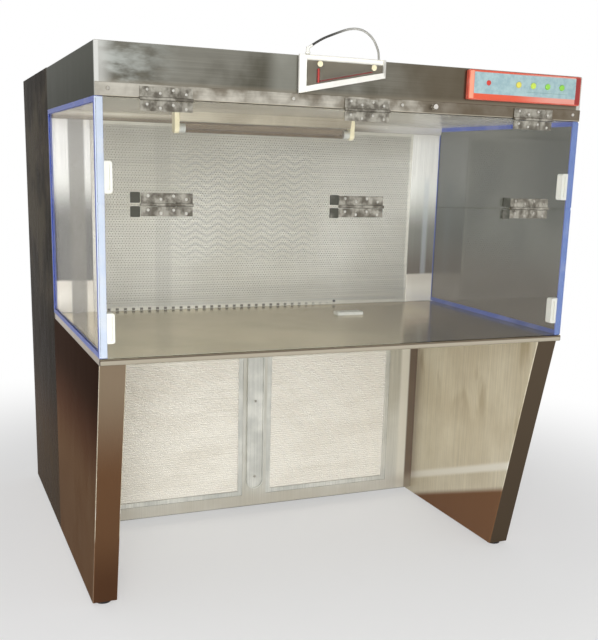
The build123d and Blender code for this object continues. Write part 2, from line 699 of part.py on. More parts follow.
def make_manometer_mounts():
    """Spacers between the manometer and the canopy front, and the two cream caps on its face."""
    face_y = -(MANO_STANDOFF + MANO_BODY)
    pieces = []
    for x in (MANO_LEFT + 25, MANO_RIGHT - 25):
        pieces.append(rod_y(6, x, -MANO_STANDOFF, 0, MANO_TOP - 24))
    for x in (MANO_WELL_X - 4, MANO_RIGHT - 42):
        cap = rod_y(MANO_KNOB_RADIUS, x, face_y - MANO_KNOB_PROUD, face_y, MANO_TOP - MANO_BEVEL - MANO_KNOB_RADIUS - 1)
        pieces.append(chamfer(cap.edges().sort_by(Axis.Y)[0], 1.0))
    return Compound(children=pieces)


def make_tube_fittings():
    """Elbow on the manometer and straight nipple on the canopy top."""
    first = Vector(*TUBE_ROUTE[0])
    out = (Vector(*TUBE_ROUTE[1]) - first).normalized()
    corner = first - out * 14
    elbow = rod_z(4.5, corner.X, corner.Y, MANO_TOP, corner.Z)
    elbow += Pos(corner) * Sphere(4.5)
    elbow += rod_between(3.4, tuple(corner), tuple(first))
    elbow += rod_z(6.5, corner.X, corner.Y, MANO_TOP, MANO_TOP + 5)
    x, y, z = TUBE_ROUTE[-1]
    nipple = rod_z(9, x, y, HEIGHT, HEIGHT + 2.5) + rod_z(NIPPLE_RADIUS - 1.4, x, y, HEIGHT - 8, z)
    return Compound(children=[elbow, nipple])


def bend_radii(route):
    """Radius at each inner point: its share of the shorter run over the tangent of half the turn."""
    points = [Vector(*p) for p in route]
    radii = []
    for before, here, after in zip(points, points[1:], points[2:]):
        run_in, run_out = here - before, after - here
        half_turn = run_in.get_angle(run_out) * pi / 360
        radii.append(TUBE_BEND_SHARE * min(run_in.length, run_out.length) / tan(half_turn))
    return radii


def make_pressure_tube():
    radii = bend_radii(TUBE_ROUTE)
    print("tube bend radii:", [round(r, 1) for r in radii])
    path = FilletPolyline(*TUBE_ROUTE, radius=radii)
    start = Plane(origin=TUBE_ROUTE[0], z_dir=path % 0)
    tube = sweep(start * Circle(TUBE_DIAMETER / 2), path=path)
    expected = pi * TUBE_DIAMETER ** 2 / 4 * path.length
    print("tube length:", round(path.length, 1), "volume ratio:", round(tube.volume / expected, 4))
    return tube


# ---------------------------------------------------------------- control box

def make_control_box():
    body = block(BOX_LEFT, BOX_RIGHT, -BOX_DEPTH, 0, BOX_BOTTOM, BOX_TOP)
    body = fillet(body.edges().filter_by(Axis.Y), 5)
    body = chamfer(body.faces().sort_by(Axis.Y)[0].edges(), 1.0)
    shell = offset(body, amount=-BOX_WALL, openings=body.faces().sort_by(Axis.Y)[-1])
    for x in BUTTON_XS:
        shell -= rod_y(BUTTON_RADIUS + BUTTON_CLEARANCE, x, -BOX_DEPTH - 1, -BOX_DEPTH + BOX_WALL + 1, CONTROLS_Z)
    return shell - rod_y(LAMP_RADIUS, LAMP_X, -BOX_DEPTH - 1, -BOX_DEPTH + BOX_WALL + 1, CONTROLS_Z)


def make_face_plate():
    y0 = -BOX_DEPTH - PLATE
    plate = block(BOX_LEFT + PLATE_INSET, BOX_RIGHT - PLATE_INSET, y0, -BOX_DEPTH, BOX_BOTTOM + PLATE_INSET, BOX_TOP - PLATE_INSET)
    plate = fillet(plate.edges().filter_by(Axis.Y), 3)
    for x in BUTTON_XS:
        plate -= rod_y(BUTTON_RADIUS + BUTTON_CLEARANCE, x, y0 - 1, 1 - BOX_DEPTH, CONTROLS_Z)
    return plate - rod_y(LAMP_RADIUS, LAMP_X, y0 - 1, 1 - BOX_DEPTH, CONTROLS_Z)


def make_indicator_lamp():
    front = -BOX_DEPTH - PLATE
    lens = rod_y(LAMP_RADIUS, LAMP_X, front - 3, -BOX_DEPTH + BOX_WALL, CONTROLS_Z)
    return chamfer(lens.edges().sort_by(Axis.Y)[0], 2.0)


def make_push_button(x):
    """Cap that slides in the face plate, with a flange behind the box front that keeps it in."""
    front = -BOX_DEPTH - PLATE - BUTTON_PROUD
    inside = -BOX_DEPTH + BOX_WALL + 0.1
    cap = rod_y(BUTTON_RADIUS, x, front, inside, CONTROLS_Z)
    cap = chamfer(cap.edges().sort_by(Axis.Y)[0], 1.0)
    return cap + rod_y(BUTTON_RADIUS + BUTTON_FLANGE, x, inside, inside + BUTTON_FLANGE, CONTROLS_Z)


# ---------------------------------------------------------------- light

def make_lamp_batten():
    half = BATTEN_LENGTH / 2 - HOLDER_THICKNESS
    width = BATTEN_WIDTH / 2
    outline = [
        (BATTEN_Y - width, CANOPY_Z),
        (BATTEN_Y - width * 0.7, CANOPY_Z - BATTEN_HEIGHT),
        (BATTEN_Y + width * 0.7, CANOPY_Z - BATTEN_HEIGHT),
        (BATTEN_Y + width, CANOPY_Z),
    ]
    body = side_profile(outline, BATTEN_X - half, BATTEN_X + half)
    return offset(body, amount=-1.2, openings=body.faces().sort_by(Axis.Z)[-1])


def make_lampholders():
    holders = []
    lamp_z = CANOPY_Z - BATTEN_HEIGHT - TUBE_LAMP_DROP
    for side in (-1, 1):
        x_out = BATTEN_X + side * BATTEN_LENGTH / 2
        x0, x1 = sorted((x_out, x_out - side * HOLDER_THICKNESS))
        half = HOLDER_WIDTH / 2
        z1 = CANOPY_Z
        holder = block(x0, x1, BATTEN_Y - half, BATTEN_Y + half, lamp_z, z1)
        holder += rod_x(half, x0, x1, BATTEN_Y, lamp_z)
        holders.append(holder)
    return Compound(children=holders)


def make_lamp_tube():
    lamp_z = CANOPY_Z - BATTEN_HEIGHT - TUBE_LAMP_DROP
    half = BATTEN_LENGTH / 2 - HOLDER_THICKNESS
    return rod_x(TUBE_LAMP_RADIUS, BATTEN_X - half, BATTEN_X + half, BATTEN_Y, lamp_z)


# ---------------------------------------------------------------- small pieces

def make_hold_knob():
    z = CANOPY_Z + RAIL_HEIGHT * 0.55
    centre_y = -RAIL - 4 - KNOB_RADIUS
    knob = rod_y(7, KNOB_X, -RAIL - 2, -RAIL, z) + rod_y(3.5, KNOB_X, centre_y, -RAIL, z)
    return knob + Pos(KNOB_X, centre_y, z) * Sphere(KNOB_RADIUS)


def make_service_plate():
    wide, deep, thick = SERVICE_PLATE
    x, y = SERVICE_PLATE_CENTRE
    plate = block(x - wide / 2, x + wide / 2, y - deep / 2, y + deep / 2, WORKTOP_HEIGHT, WORKTOP_HEIGHT + thick)
    plate = fillet(plate.edges().filter_by(Axis.Z), 5)
    return chamfer(plate.faces().sort_by(Axis.Z)[-1].edges(), 1.0)


def pieces():
    yield "canopy_shell", make_canopy_shell()
    yield "canopy_soffit", make_canopy_soffit()
    yield "hinge_rail", make_hinge_rail()
    yield "cabinet_casing", make_cabinet_casing()
    yield "rear_panel_lower", pressed_panel(FOOT_HEIGHT + BASE_HEIGHT - 12, DECK_Z - 4)
    yield "rear_panel_upper", pressed_panel(DECK_Z + 4, HEIGHT - CASING_FLANGE / 2)
    yield "base_pan", make_base_pan()
    yield "blower_deck", make_blower_deck()
    yield "blower_scroll", make_blower_scroll()
    yield "blower_motor", make_blower_motor()
    yield "blower_impeller", make_blower_impeller()
    yield "hepa_frame", make_hepa_frame()
    yield "hepa_media", make_hepa_media()
    yield "diffuser_screen", make_diffuser_screen()
    yield "jamb_left", make_jamb(-1)
    yield "jamb_right", make_jamb(1)
    yield "worktop", make_worktop()
    yield "stand_left", make_stand(-1)
    yield "stand_right", make_stand(1)
    yield "levelling_feet", make_levelling_feet()
    yield "knee_wall", make_knee_wall()
    yield "mullion_channel", make_mullion_channel()
    for index, side in enumerate(("left", "right")):
        yield f"prefilter_frame_{side}", make_prefilter_frame(index)
        yield f"prefilter_media_{side}", make_prefilter_media(index)
    for side, name in ((-1, "left"), (1, "right")):
        yield f"side_glass_{name}", make_side_glass(side)
        yield f"edge_trim_{name}", make_edge_trim(side)
    yield "magnetic_catches", make_magnetic_catches()
    yield "door_glass_upper", make_door_glass(FOLD_AXIS_Z + DOOR_EDGE_GAP / 2, CANOPY_Z - DOOR_EDGE_GAP)
    yield "door_glass_lower", make_door_glass(WORKTOP_HEIGHT + DOOR_EDGE_GAP, FOLD_AXIS_Z - DOOR_EDGE_GAP / 2)
    yield "rail_hinge_leaves", make_leaves(TOP_HINGE_XS, TOP_AXIS_Z, True)
    yield "upper_door_hinge_leaves", make_leaves(TOP_HINGE_XS, TOP_AXIS_Z, False)
    yield "top_hinge_pins", make_pins(TOP_HINGE_XS, TOP_AXIS_Z)
    yield "fold_hinge_upper_leaves", make_leaves(FOLD_HINGE_XS, FOLD_AXIS_Z, True)
    yield "fold_hinge_lower_leaves", make_leaves(FOLD_HINGE_XS, FOLD_AXIS_Z, False)
    yield "fold_hinge_pins", make_pins(FOLD_HINGE_XS, FOLD_AXIS_Z)
    yield "fold_bumpers_upper", make_bumpers(True)
    yield "fold_bumpers_lower", make_bumpers(False)
    yield "manometer_body", make_manometer_body()
    yield "manometer_fluid", make_manometer_fluid()
    yield "manometer_mounts", make_manometer_mounts()
    yield "tube_fittings", make_tube_fittings()
    yield "pressure_tube", make_pressure_tube()
    yield "control_box", make_control_box()
    yield "control_face_plate", make_face_plate()
    yield "indicator_lamp", make_indicator_lamp()
    for number, x in enumerate(BUTTON_XS, start=1):
        yield f"push_button_{number}", make_push_button(x)
    yield "lamp_batten", make_lamp_batten()
    yield "lampholders", make_lampholders()
    yield "lamp_tube", make_lamp_tube()
    yield "hold_knob", make_hold_knob()
    yield "service_plate", make_service_plate()
    yield "cable_gland", make_cable_gland()


def main():
    os.makedirs("parts", exist_ok=True)
    for name, shape in pieces():
        export_step(Pos(0, Y_SHIFT, 0) * shape, f"parts/{name}.step")


main()
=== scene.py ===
import math

import bmesh
import bpy
from mathutils import Matrix, Vector


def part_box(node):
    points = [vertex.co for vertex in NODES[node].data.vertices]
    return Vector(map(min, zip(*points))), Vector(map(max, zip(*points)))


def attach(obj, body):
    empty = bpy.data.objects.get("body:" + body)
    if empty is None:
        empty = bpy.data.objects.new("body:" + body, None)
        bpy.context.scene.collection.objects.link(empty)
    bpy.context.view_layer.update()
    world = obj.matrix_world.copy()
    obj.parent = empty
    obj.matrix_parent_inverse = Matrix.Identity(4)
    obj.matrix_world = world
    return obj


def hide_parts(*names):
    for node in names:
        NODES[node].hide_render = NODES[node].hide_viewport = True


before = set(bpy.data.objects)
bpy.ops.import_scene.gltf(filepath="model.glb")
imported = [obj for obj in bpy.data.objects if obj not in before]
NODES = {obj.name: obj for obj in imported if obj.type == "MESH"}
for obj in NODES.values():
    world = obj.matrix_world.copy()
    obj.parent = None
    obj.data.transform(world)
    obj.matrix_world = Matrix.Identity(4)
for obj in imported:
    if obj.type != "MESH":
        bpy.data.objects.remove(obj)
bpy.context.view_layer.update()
MM = 0.001
FRONT = -695.5 * MM          # y of the canopy's front plane in the shared frame


def at(x, y, z):
    """Point given in millimetres from the front plane and the floor."""
    return Vector((x * MM, y * MM + FRONT, z * MM))


def show(thing):
    bpy.context.scene.collection.objects.link(thing)


def srgb(red, green, blue):
    """Scene colour from 0-255 display values."""
    def linear(value):
        value /= 255
        return value / 12.92 if value <= 0.04045 else ((value + 0.055) / 1.055) ** 2.4
    return linear(red), linear(green), linear(blue), 1.0


# ---- camera

CAMERA_PLACE = (-1118.4, -2282.8, 1236.1)
CAMERA_RIGHT = (0.92144, -0.38755, 0.02758)
CAMERA_UP = (0.06025, 0.21265, 0.97527)
CAMERA_BACK = (-0.38383, -0.89699, 0.21929)


def make_camera():
    data = bpy.data.cameras.new("camera")
    data.lens = 52.394
    data.sensor_width = 36
    data.shift_x = -0.0108
    data.shift_y = 0.0875
    data.clip_end = 60
    camera = bpy.data.objects.new("camera", data)
    turn = Matrix((CAMERA_RIGHT, CAMERA_UP, CAMERA_BACK)).transposed().to_4x4()
    camera.matrix_world = Matrix.Translation(at(*CAMERA_PLACE)) @ turn
    show(camera)
    bpy.context.scene.camera = camera


make_camera()


# ---- pressure tube (the one cord)

TUBE_ROUTE = [
    (-156, -13, 1534), (-132, -10, 1550), (-88, 2, 1568), (-34, 21, 1588), (12, 42, 1590),
    (52, 65, 1576), (76, 82, 1553), (84, 87, 1536), (84, 87, 1517),
]
TUBE_DIAMETER = 6 * MM


def make_pressure_tube():
    curve = bpy.data.curves.new("vinyl_pressure_tube", "CURVE")
    curve.dimensions = "3D"
    curve.bevel_depth = TUBE_DIAMETER / 2
    curve.bevel_resolution = 5
    curve.resolution_u = 10
    spline = curve.splines.new("NURBS")
    spline.points.add(len(TUBE_ROUTE) - 1)
    for point, place in zip(spline.points, TUBE_ROUTE):
        point.co = (*at(*place), 1.0)
    spline.order_u = 3
    spline.use_endpoint_u = True
    tube = bpy.data.objects.new("vinyl_pressure_tube", curve)
    show(tube)
    return tube


pressure_tube = make_pressure_tube()


# ---- node helpers

def add(tree, kind, inputs=None, **settings):
    """One shader node. Values are set on its sockets, and sockets are linked to them."""
    node = tree.nodes.new(kind)
    for name, value in settings.items():
        setattr(node, name, value)
    for name, value in (inputs or {}).items():
        if isinstance(value, bpy.types.NodeSocket):
            tree.links.new(value, node.inputs[name])
        else:
            node.inputs[name].default_value = value
    return node


def mix(tree, factor, first, second, blend="MIX"):
    """Colour mix; returns its socket."""
    node = add(tree, "ShaderNodeMix", {0: factor, 6: first, 7: second}, data_type="RGBA", blend_type=blend)
    return node.outputs[2]


def math_node(tree, operation, first, second=0.0, third=0.0, clamp=False):
    node = add(tree, "ShaderNodeMath", {0: first, 1: second, 2: third}, operation=operation, use_clamp=clamp)
    return node.outputs[0]


def product(tree, first, second):
    return math_node(tree, "MULTIPLY", first, second)


def ramp(tree, value, low, high, to_low=0.0, to_high=1.0):
    """Smooth step of value from low to high."""
    limits = {"Value": value, "From Min": low, "From Max": high, "To Min": to_low, "To Max": to_high}
    return add(tree, "ShaderNodeMapRange", limits, interpolation_type="SMOOTHSTEP").outputs[0]


def noise(tree, vector, scale, detail=2.0, roughness=0.5):
    values = {"Vector": vector, "Scale": scale, "Detail": detail, "Roughness": roughness}
    return add(tree, "ShaderNodeTexNoise", values).outputs["Fac"]


def scaled(tree, vector, scale):
    return add(tree, "ShaderNodeMapping", {"Vector": vector, "Scale": scale}).outputs[0]


def axes(tree, vector):
    return add(tree, "ShaderNodeSeparateXYZ", {"Vector": vector}).outputs


def shaded(tree, color, share):
    """Colour made darker or lighter by a value that changes over the surface."""
    gray = add(tree, "ShaderNodeCombineColor", {0: share, 1: share, 2: share}).outputs[0]
    return mix(tree, 1.0, color, gray, "MULTIPLY")


def paint(tree, shader, color):
    tree.links.new(color, shader.inputs["Base Color"])


def place_in_piece(tree):
    return add(tree, "ShaderNodeTexCoord").outputs["Object"]


def new_material(name, metallic=0.0, roughness=0.5, **sockets):
    """Empty material with a Principled shader; returns material, tree and shader."""
    material = bpy.data.materials.new(name)
    material.use_nodes = True
    tree = material.node_tree
    tree.nodes.clear()
    shader = add(tree, "ShaderNodeBsdfPrincipled", {"Metallic": metallic, "Roughness": roughness})
    for socket, value in sockets.items():
        shader.inputs[socket.replace("_", " ")].default_value = value
    output = add(tree, "ShaderNodeOutputMaterial")
    tree.links.new(shader.outputs[0], output.inputs[0])
    return material, tree, shader


def bump(tree, shader, height, strength, distance):
    node = add(tree, "ShaderNodeBump", {"Height": height, "Strength": strength, "Distance": distance})
    tree.links.new(node.outputs[0], shader.inputs["Normal"])


def new_group(name, sockets_in, sockets_out):
    """Shader node group with named inputs (name, kind, value) and outputs (name, kind)."""
    group = bpy.data.node_groups.new(name, "ShaderNodeTree")
    for label, kind, value in sockets_in:
        socket = group.interface.new_socket(label, in_out="INPUT", socket_type="NodeSocket" + kind)
        if value is not None:
            socket.default_value = value
    for label, kind in sockets_out:
        group.interface.new_socket(label, in_out="OUTPUT", socket_type="NodeSocket" + kind)
    inside = add(group, "NodeGroupInput").outputs
    outside = add(group, "NodeGroupOutput").inputs
    return group, inside, outside


def make_brushed_group():
    """Rolled and brushed sheet: long fine grain, broad cloudy stains and small smears."""
    group, given, result = new_group(
        "brushed_sheet",
        [("Vector", "Vector", None), ("Grain", "Vector", (3.0, 400.0, 400.0)),
         ("Light", "Color", (0.6, 0.6, 0.6, 1)), ("Dark", "Color", (0.3, 0.3, 0.3, 1)),
         ("Cloud Scale", "Float", 3.0), ("Smear", "Float", 0.25),
         ("Roughness", "Float", 0.28)],
        [("Color", "Color"), ("Roughness", "Float"), ("Height", "Float")])
    grained = add(group, "ShaderNodeVectorMath", {0: given["Vector"], 1: given["Grain"]},
                  operation="MULTIPLY")
    grain = noise(group, grained.outputs[0], 1.0, 3.0, 0.7)
    clouds = noise(group, given["Vector"], given["Cloud Scale"], 4.0, 0.55)
    smear_place = scaled(group, given["Vector"], (1.0, 1.0, 0.35))
    smears = noise(group, smear_place, 17.0, 5.0, 0.62)
    cloud_mask = ramp(group, clouds, 0.36, 0.64)
    tone = mix(group, cloud_mask, given["Dark"], given["Light"])
    smear_mask = ramp(group, smears, 0.52, 0.70)
    smear_amount = product(group, smear_mask, given["Smear"])
    tone = mix(group, smear_amount, tone, given["Light"])
    streak = ramp(group, grain, 0.25, 0.75, 0.86, 1.10)
    tone = shaded(group, tone, streak)
    rough = math_node(group, "MULTIPLY_ADD", smears, 0.16, given["Roughness"])
    rough = math_node(group, "MULTIPLY_ADD", grain, 0.08, rough)
    group.links.new(tone, result["Color"])
    group.links.new(rough, result["Roughness"])
    group.links.new(grain, result["Height"])
    return group


BRUSHED = make_brushed_group()


def make_skin_group():
    """Fine moulded or painted skin: slight colour drift, dust and a soft orange-peel height."""
    group, given, result = new_group(
        "fine_skin",
        [("Vector", "Vector", None), ("Color", "Color", (0.5, 0.5, 0.5, 1)),
         ("Dust", "Color", (0.6, 0.57, 0.5, 1)), ("Dust Amount", "Float", 0.25),
         ("Roughness", "Float", 0.4), ("Peel Scale", "Float", 900.0)],
        [("Color", "Color"), ("Roughness", "Float"), ("Height", "Float")])
    drift = noise(group, given["Vector"], 14.0, 4.0, 0.6)
    peel = noise(group, given["Vector"], given["Peel Scale"], 2.0, 0.5)
    dust_mask = ramp(group, drift, 0.48, 0.72)
    dust = product(group, dust_mask, given["Dust Amount"])
    tone = mix(group, dust, given["Color"], given["Dust"])
    tone = shaded(group, tone, ramp(group, drift, 0.2, 0.8, 0.92, 1.06))
    rough = math_node(group, "MULTIPLY_ADD", drift, 0.15, given["Roughness"])
    group.links.new(tone, result["Color"])
    group.links.new(rough, result["Roughness"])
    group.links.new(peel, result["Height"])
    return group


SKIN = make_skin_group()

# edge tints: how much of its surroundings sheet metal shows at a slant
SLANT = (0.5, 0.5, 0.5, 1.0)
CANOPY_SLANT = (0.25, 0.25, 0.24, 1.0)
CASING_SLANT = (0.12, 0.105, 0.09, 1.0)
STAND_SLANT = (0.20, 0.115, 0.075, 1.0)
ALONG_X = (3.0, 380.0, 380.0)
ALONG_Z = (380.0, 380.0, 3.0)


def brushed(tree, shader, light, dark, grain, cloud_scale=3.0, smear=0.25, roughness=0.28, grit=0.05):
    """Puts the brushed group into a material; returns its colour socket for further layers."""
    group = add(tree, "ShaderNodeGroup", node_tree=BRUSHED)
    for label, value in (("Grain", grain), ("Light", light), ("Dark", dark),
                         ("Cloud Scale", cloud_scale), ("Smear", smear), ("Roughness", roughness)):
        group.inputs[label].default_value = value
    tree.links.new(place_in_piece(tree), group.inputs["Vector"])
    tree.links.new(group.outputs["Roughness"], shader.inputs["Roughness"])
    paint(tree, shader, group.outputs["Color"])
    bump(tree, shader, group.outputs["Height"], grit, 0.0002)
    return group.outputs["Color"]


def steel_sheet(name, light, dark, grain, zones=(), metallic=1.0, **finish):
    """Stainless sheet. Each zone is (axis, low, high, colour, strength) and fades in from low to high."""
    material, tree, shader = new_material(name, metallic=metallic, Specular_Tint=SLANT)
    color = brushed(tree, shader, light, dark, grain, **finish)
    spots = axes(tree, place_in_piece(tree))
    for axis, low, high, tint, strength in zones:
        mask = ramp(tree, spots["XYZ".index(axis)], low, high, 0.0, strength)
        color = mix(tree, mask, color, tint)
    paint(tree, shader, color)
    return material


def skinned(name, color, dust_amount=0.2, roughness=0.4, peel=900.0, peel_strength=0.08, **sockets):
    """Moulded or painted surface."""
    material, tree, shader = new_material(name, **sockets)
    group = add(tree, "ShaderNodeGroup", node_tree=SKIN)
    for label, value in (("Color", color), ("Dust Amount", dust_amount), ("Roughness", roughness),
                         ("Peel Scale", peel)):
        group.inputs[label].default_value = value
    tree.links.new(place_in_piece(tree), group.inputs["Vector"])
    paint(tree, shader, group.outputs["Color"])
    tree.links.new(group.outputs["Roughness"], shader.inputs["Roughness"])
    bump(tree, shader, group.outputs["Height"], peel_strength, 0.0003)
    return material


# ---- stainless finishes

FLANK_START, FLANK_END = 0.6985, 0.6993      # distance from the middle where the outer sides begin


def band_mask(tree, value, low, high, edge):
    """1 between low and high, with soft edges outside them."""
    rise = ramp(tree, value, low - edge, low)
    fall = ramp(tree, value, high + edge, high)
    return product(tree, rise, fall)


def on_flank(tree, x):
    """1 on the outer left and right sides of the bench."""
    return ramp(tree, math_node(tree, "ABSOLUTE", x), FLANK_START, FLANK_END)


def canopy_steel():
    """Front: painted reflections, light cloudy patches by the left end, a pale bar, darker olive to the right
    and paler along the lower edge, with painted highlights on the folded corners.
    Sides: painted shade, lighter towards the top; top face painted lighter."""
    material, tree, shader = new_material("canopy_steel", metallic=1.0, Specular_Tint=CANOPY_SLANT)
    color = brushed(tree, shader, srgb(138, 136, 126), srgb(98, 95, 84), ALONG_X,
                    cloud_scale=5.0, smear=0.4, roughness=0.2)
    place = place_in_piece(tree)
    x, _, z = axes(tree, place)
    # painted reflection: light cloudy patches towards the left end of the front
    patches = noise(tree, scaled(tree, place, (9.0, 3.0, 22.0)), 1.0, 4.0, 0.6)
    left_end = ramp(tree, x, -0.46, -0.66)
    painted_reflection_mask = product(tree, ramp(tree, patches, 0.40, 0.66, 0.0, 0.8), left_end)
    color = mix(tree, painted_reflection_mask, color, srgb(198, 202, 196))
    # painted reflection: darker olive towards the right of the front
    color = mix(tree, ramp(tree, x, -0.05, 0.25, 0.0, 0.8), color, srgb(104, 94, 78))
    # painted reflection: a pale bar across the front
    painted_reflection_bar = band_mask(tree, x, -0.235, -0.200, 0.05)
    color = mix(tree, product(tree, painted_reflection_bar, 0.5), color, srgb(172, 172, 162))
    # painted reflection: paler and warmer along the lower edge of the front
    painted_low_edge_reflection = ramp(tree, z, 1.415, 1.430, 0.5, 0.0)
    color = mix(tree, painted_low_edge_reflection, color, srgb(150, 140, 122))
    # painted highlights on the folded front corners, with a painted glow beside the left one
    corner = band_mask(tree, x, -0.6975, -0.690, 0.003)
    color = mix(tree, corner, color, srgb(244, 244, 240))
    painted_corner_glow = ramp(tree, x, -0.645, -0.688, 0.0, 0.65)
    color = mix(tree, painted_corner_glow, color, srgb(222, 222, 216))
    painted_far_corner_highlight = band_mask(tree, x, 0.688, 0.697, 0.004)
    color = mix(tree, painted_far_corner_highlight, color, srgb(205, 205, 198))
    # sides painted with shade, lighter towards the top
    flank = on_flank(tree, x)
    painted_flank_light = mix(tree, ramp(tree, z, 1.38, 1.52), srgb(120, 121, 116), srgb(140, 141, 135))
    color = mix(tree, flank, color, painted_flank_light)
    # top face painted lighter, as lit from above
    top = ramp(tree, z, 1.5085, 1.5093)
    color = mix(tree, top, color, srgb(176, 174, 166))
    paint(tree, shader, color)
    return material


def casing_steel():
    """Cabinet sides: polished sheet painted with cloudy reflections, paler and warmer towards the floor.
    Back: plain grey.
    """
    material, tree, shader = new_material("casing_steel", metallic=1.0, Specular_Tint=CASING_SLANT)
    color = brushed(tree, shader, srgb(168, 165, 156), srgb(134, 130, 120), ALONG_Z, roughness=0.16)
    place = place_in_piece(tree)
    x, _, z = axes(tree, place)
    # painted reflections on the sides: cloudy dark and light blotches
    clouds = noise(tree, scaled(tree, place, (1.0, 3.0, 4.0)), 1.0, 3.0, 0.6)
    upper = mix(tree, ramp(tree, clouds, 0.38, 0.64), srgb(98, 98, 94), srgb(150, 148, 139))
    # painted reflection: paler and warmer towards the floor
    lower = mix(tree, ramp(tree, z, 0.62, 0.20), srgb(96, 89, 81), srgb(162, 146, 128))
    painted_flank_light = mix(tree, ramp(tree, z, 0.86, 0.64), upper, lower)
    flank = on_flank(tree, x)
    color = mix(tree, flank, color, painted_flank_light)
    paint(tree, shader, color)
    return material


def stand_steel():
    """Outer sides painted dark brown as shade, redder below; inner sides pale beige with drips, a painted
    glint line and painted brown shade along the foot;
    raked fronts painted with shade that fades from pale to brown."""
    material, tree, shader = new_material("stand_steel", Specular_Tint=STAND_SLANT)
    color = brushed(tree, shader, srgb(226, 218, 196), srgb(212, 202, 178), ALONG_Z,
                    cloud_scale=3.4, smear=0.35, roughness=0.26)
    place = place_in_piece(tree)
    x, y, z = axes(tree, place)
    drips = noise(tree, scaled(tree, place, (1.0, 9.0, 2.4)), 1.0, 3.0, 0.6)
    drip_mask = product(tree, ramp(tree, drips, 0.54, 0.66), ramp(tree, z, 0.35, 0.50))
    color = mix(tree, product(tree, drip_mask, 0.6), color, srgb(172, 156, 122))
    slanted = math_node(tree, "MULTIPLY_ADD", y, 0.37, z)
    # painted glint: a bright line along the slope of the inner sides
    color = mix(tree, band_mask(tree, slanted, 0.086, 0.096, 0.016), color, srgb(244, 240, 228))
    # painted shade: brown along the bottom of the inner sides
    color = mix(tree, ramp(tree, slanted, 0.026, 0.000), color, srgb(124, 90, 64))
    # outer sides painted with shade: dark brown above, redder and lighter below
    outer = on_flank(tree, x)
    painted_outer_shade = mix(tree, ramp(tree, z, 0.68, 0.30), srgb(88, 81, 74), srgb(164, 147, 128))
    color = mix(tree, outer, color, painted_outer_shade)
    facing = axes(tree, add(tree, "ShaderNodeNewGeometry").outputs["Normal"])
    raked = ramp(tree, facing[1], -0.80, -0.92)
    # raked fronts painted with shade: pale above, brown towards the floor, darker on the right stand
    painted_front_shade = mix(tree, ramp(tree, z, 0.70, 0.40), srgb(150, 132, 110), srgb(120, 88, 63))
    painted_front_shade = mix(tree, ramp(tree, z, 0.25, 0.05), painted_front_shade, srgb(100, 70, 50))
    painted_front_shade = mix(tree, ramp(tree, x, 0.5, 0.6), painted_front_shade, srgb(96, 84, 70))
    color = mix(tree, raked, color, painted_front_shade)
    paint(tree, shader, color)
    bare = math_node(tree, "ADD", outer, raked)
    tree.links.new(ramp(tree, bare, 0.0, 1.0, 0.45, 1.0), shader.inputs["Metallic"])
    return material


def worktop_steel():
    """Top in soft olive-grey with cloudy reflections and a painted browner, darker reflection to the right;
    lip painted paler under a painted dark shade at the fold; ends painted dark as shade.
    """
    material, tree, shader = new_material("worktop_steel", metallic=1.0, Specular_Tint=(1.0, 0.95, 0.86, 1.0))
    color = brushed(tree, shader, srgb(200, 193, 170), srgb(180, 172, 148), ALONG_X,
                    cloud_scale=2.4, smear=0.3, roughness=0.06)
    x, _, z = axes(tree, place_in_piece(tree))
    # painted reflection: browner to the right and darker at the far right
    color = mix(tree, ramp(tree, x, -0.1, 0.45, 0.0, 0.6), color, srgb(158, 142, 120))
    color = mix(tree, ramp(tree, x, 0.50, 0.62, 0.0, 0.7), color, srgb(116, 100, 84))
    # lip painted paler than the top as lit from the front, under a painted dark shade line at the fold
    lip = mix(tree, ramp(tree, z, 0.7500, 0.7485), srgb(116, 104, 88), srgb(184, 176, 158))
    color = mix(tree, ramp(tree, z, 0.7540, 0.7525), color, lip)
    # ends painted dark as shade
    color = mix(tree, on_flank(tree, x), color, srgb(74, 58, 52))
    paint(tree, shader, color)
    return material


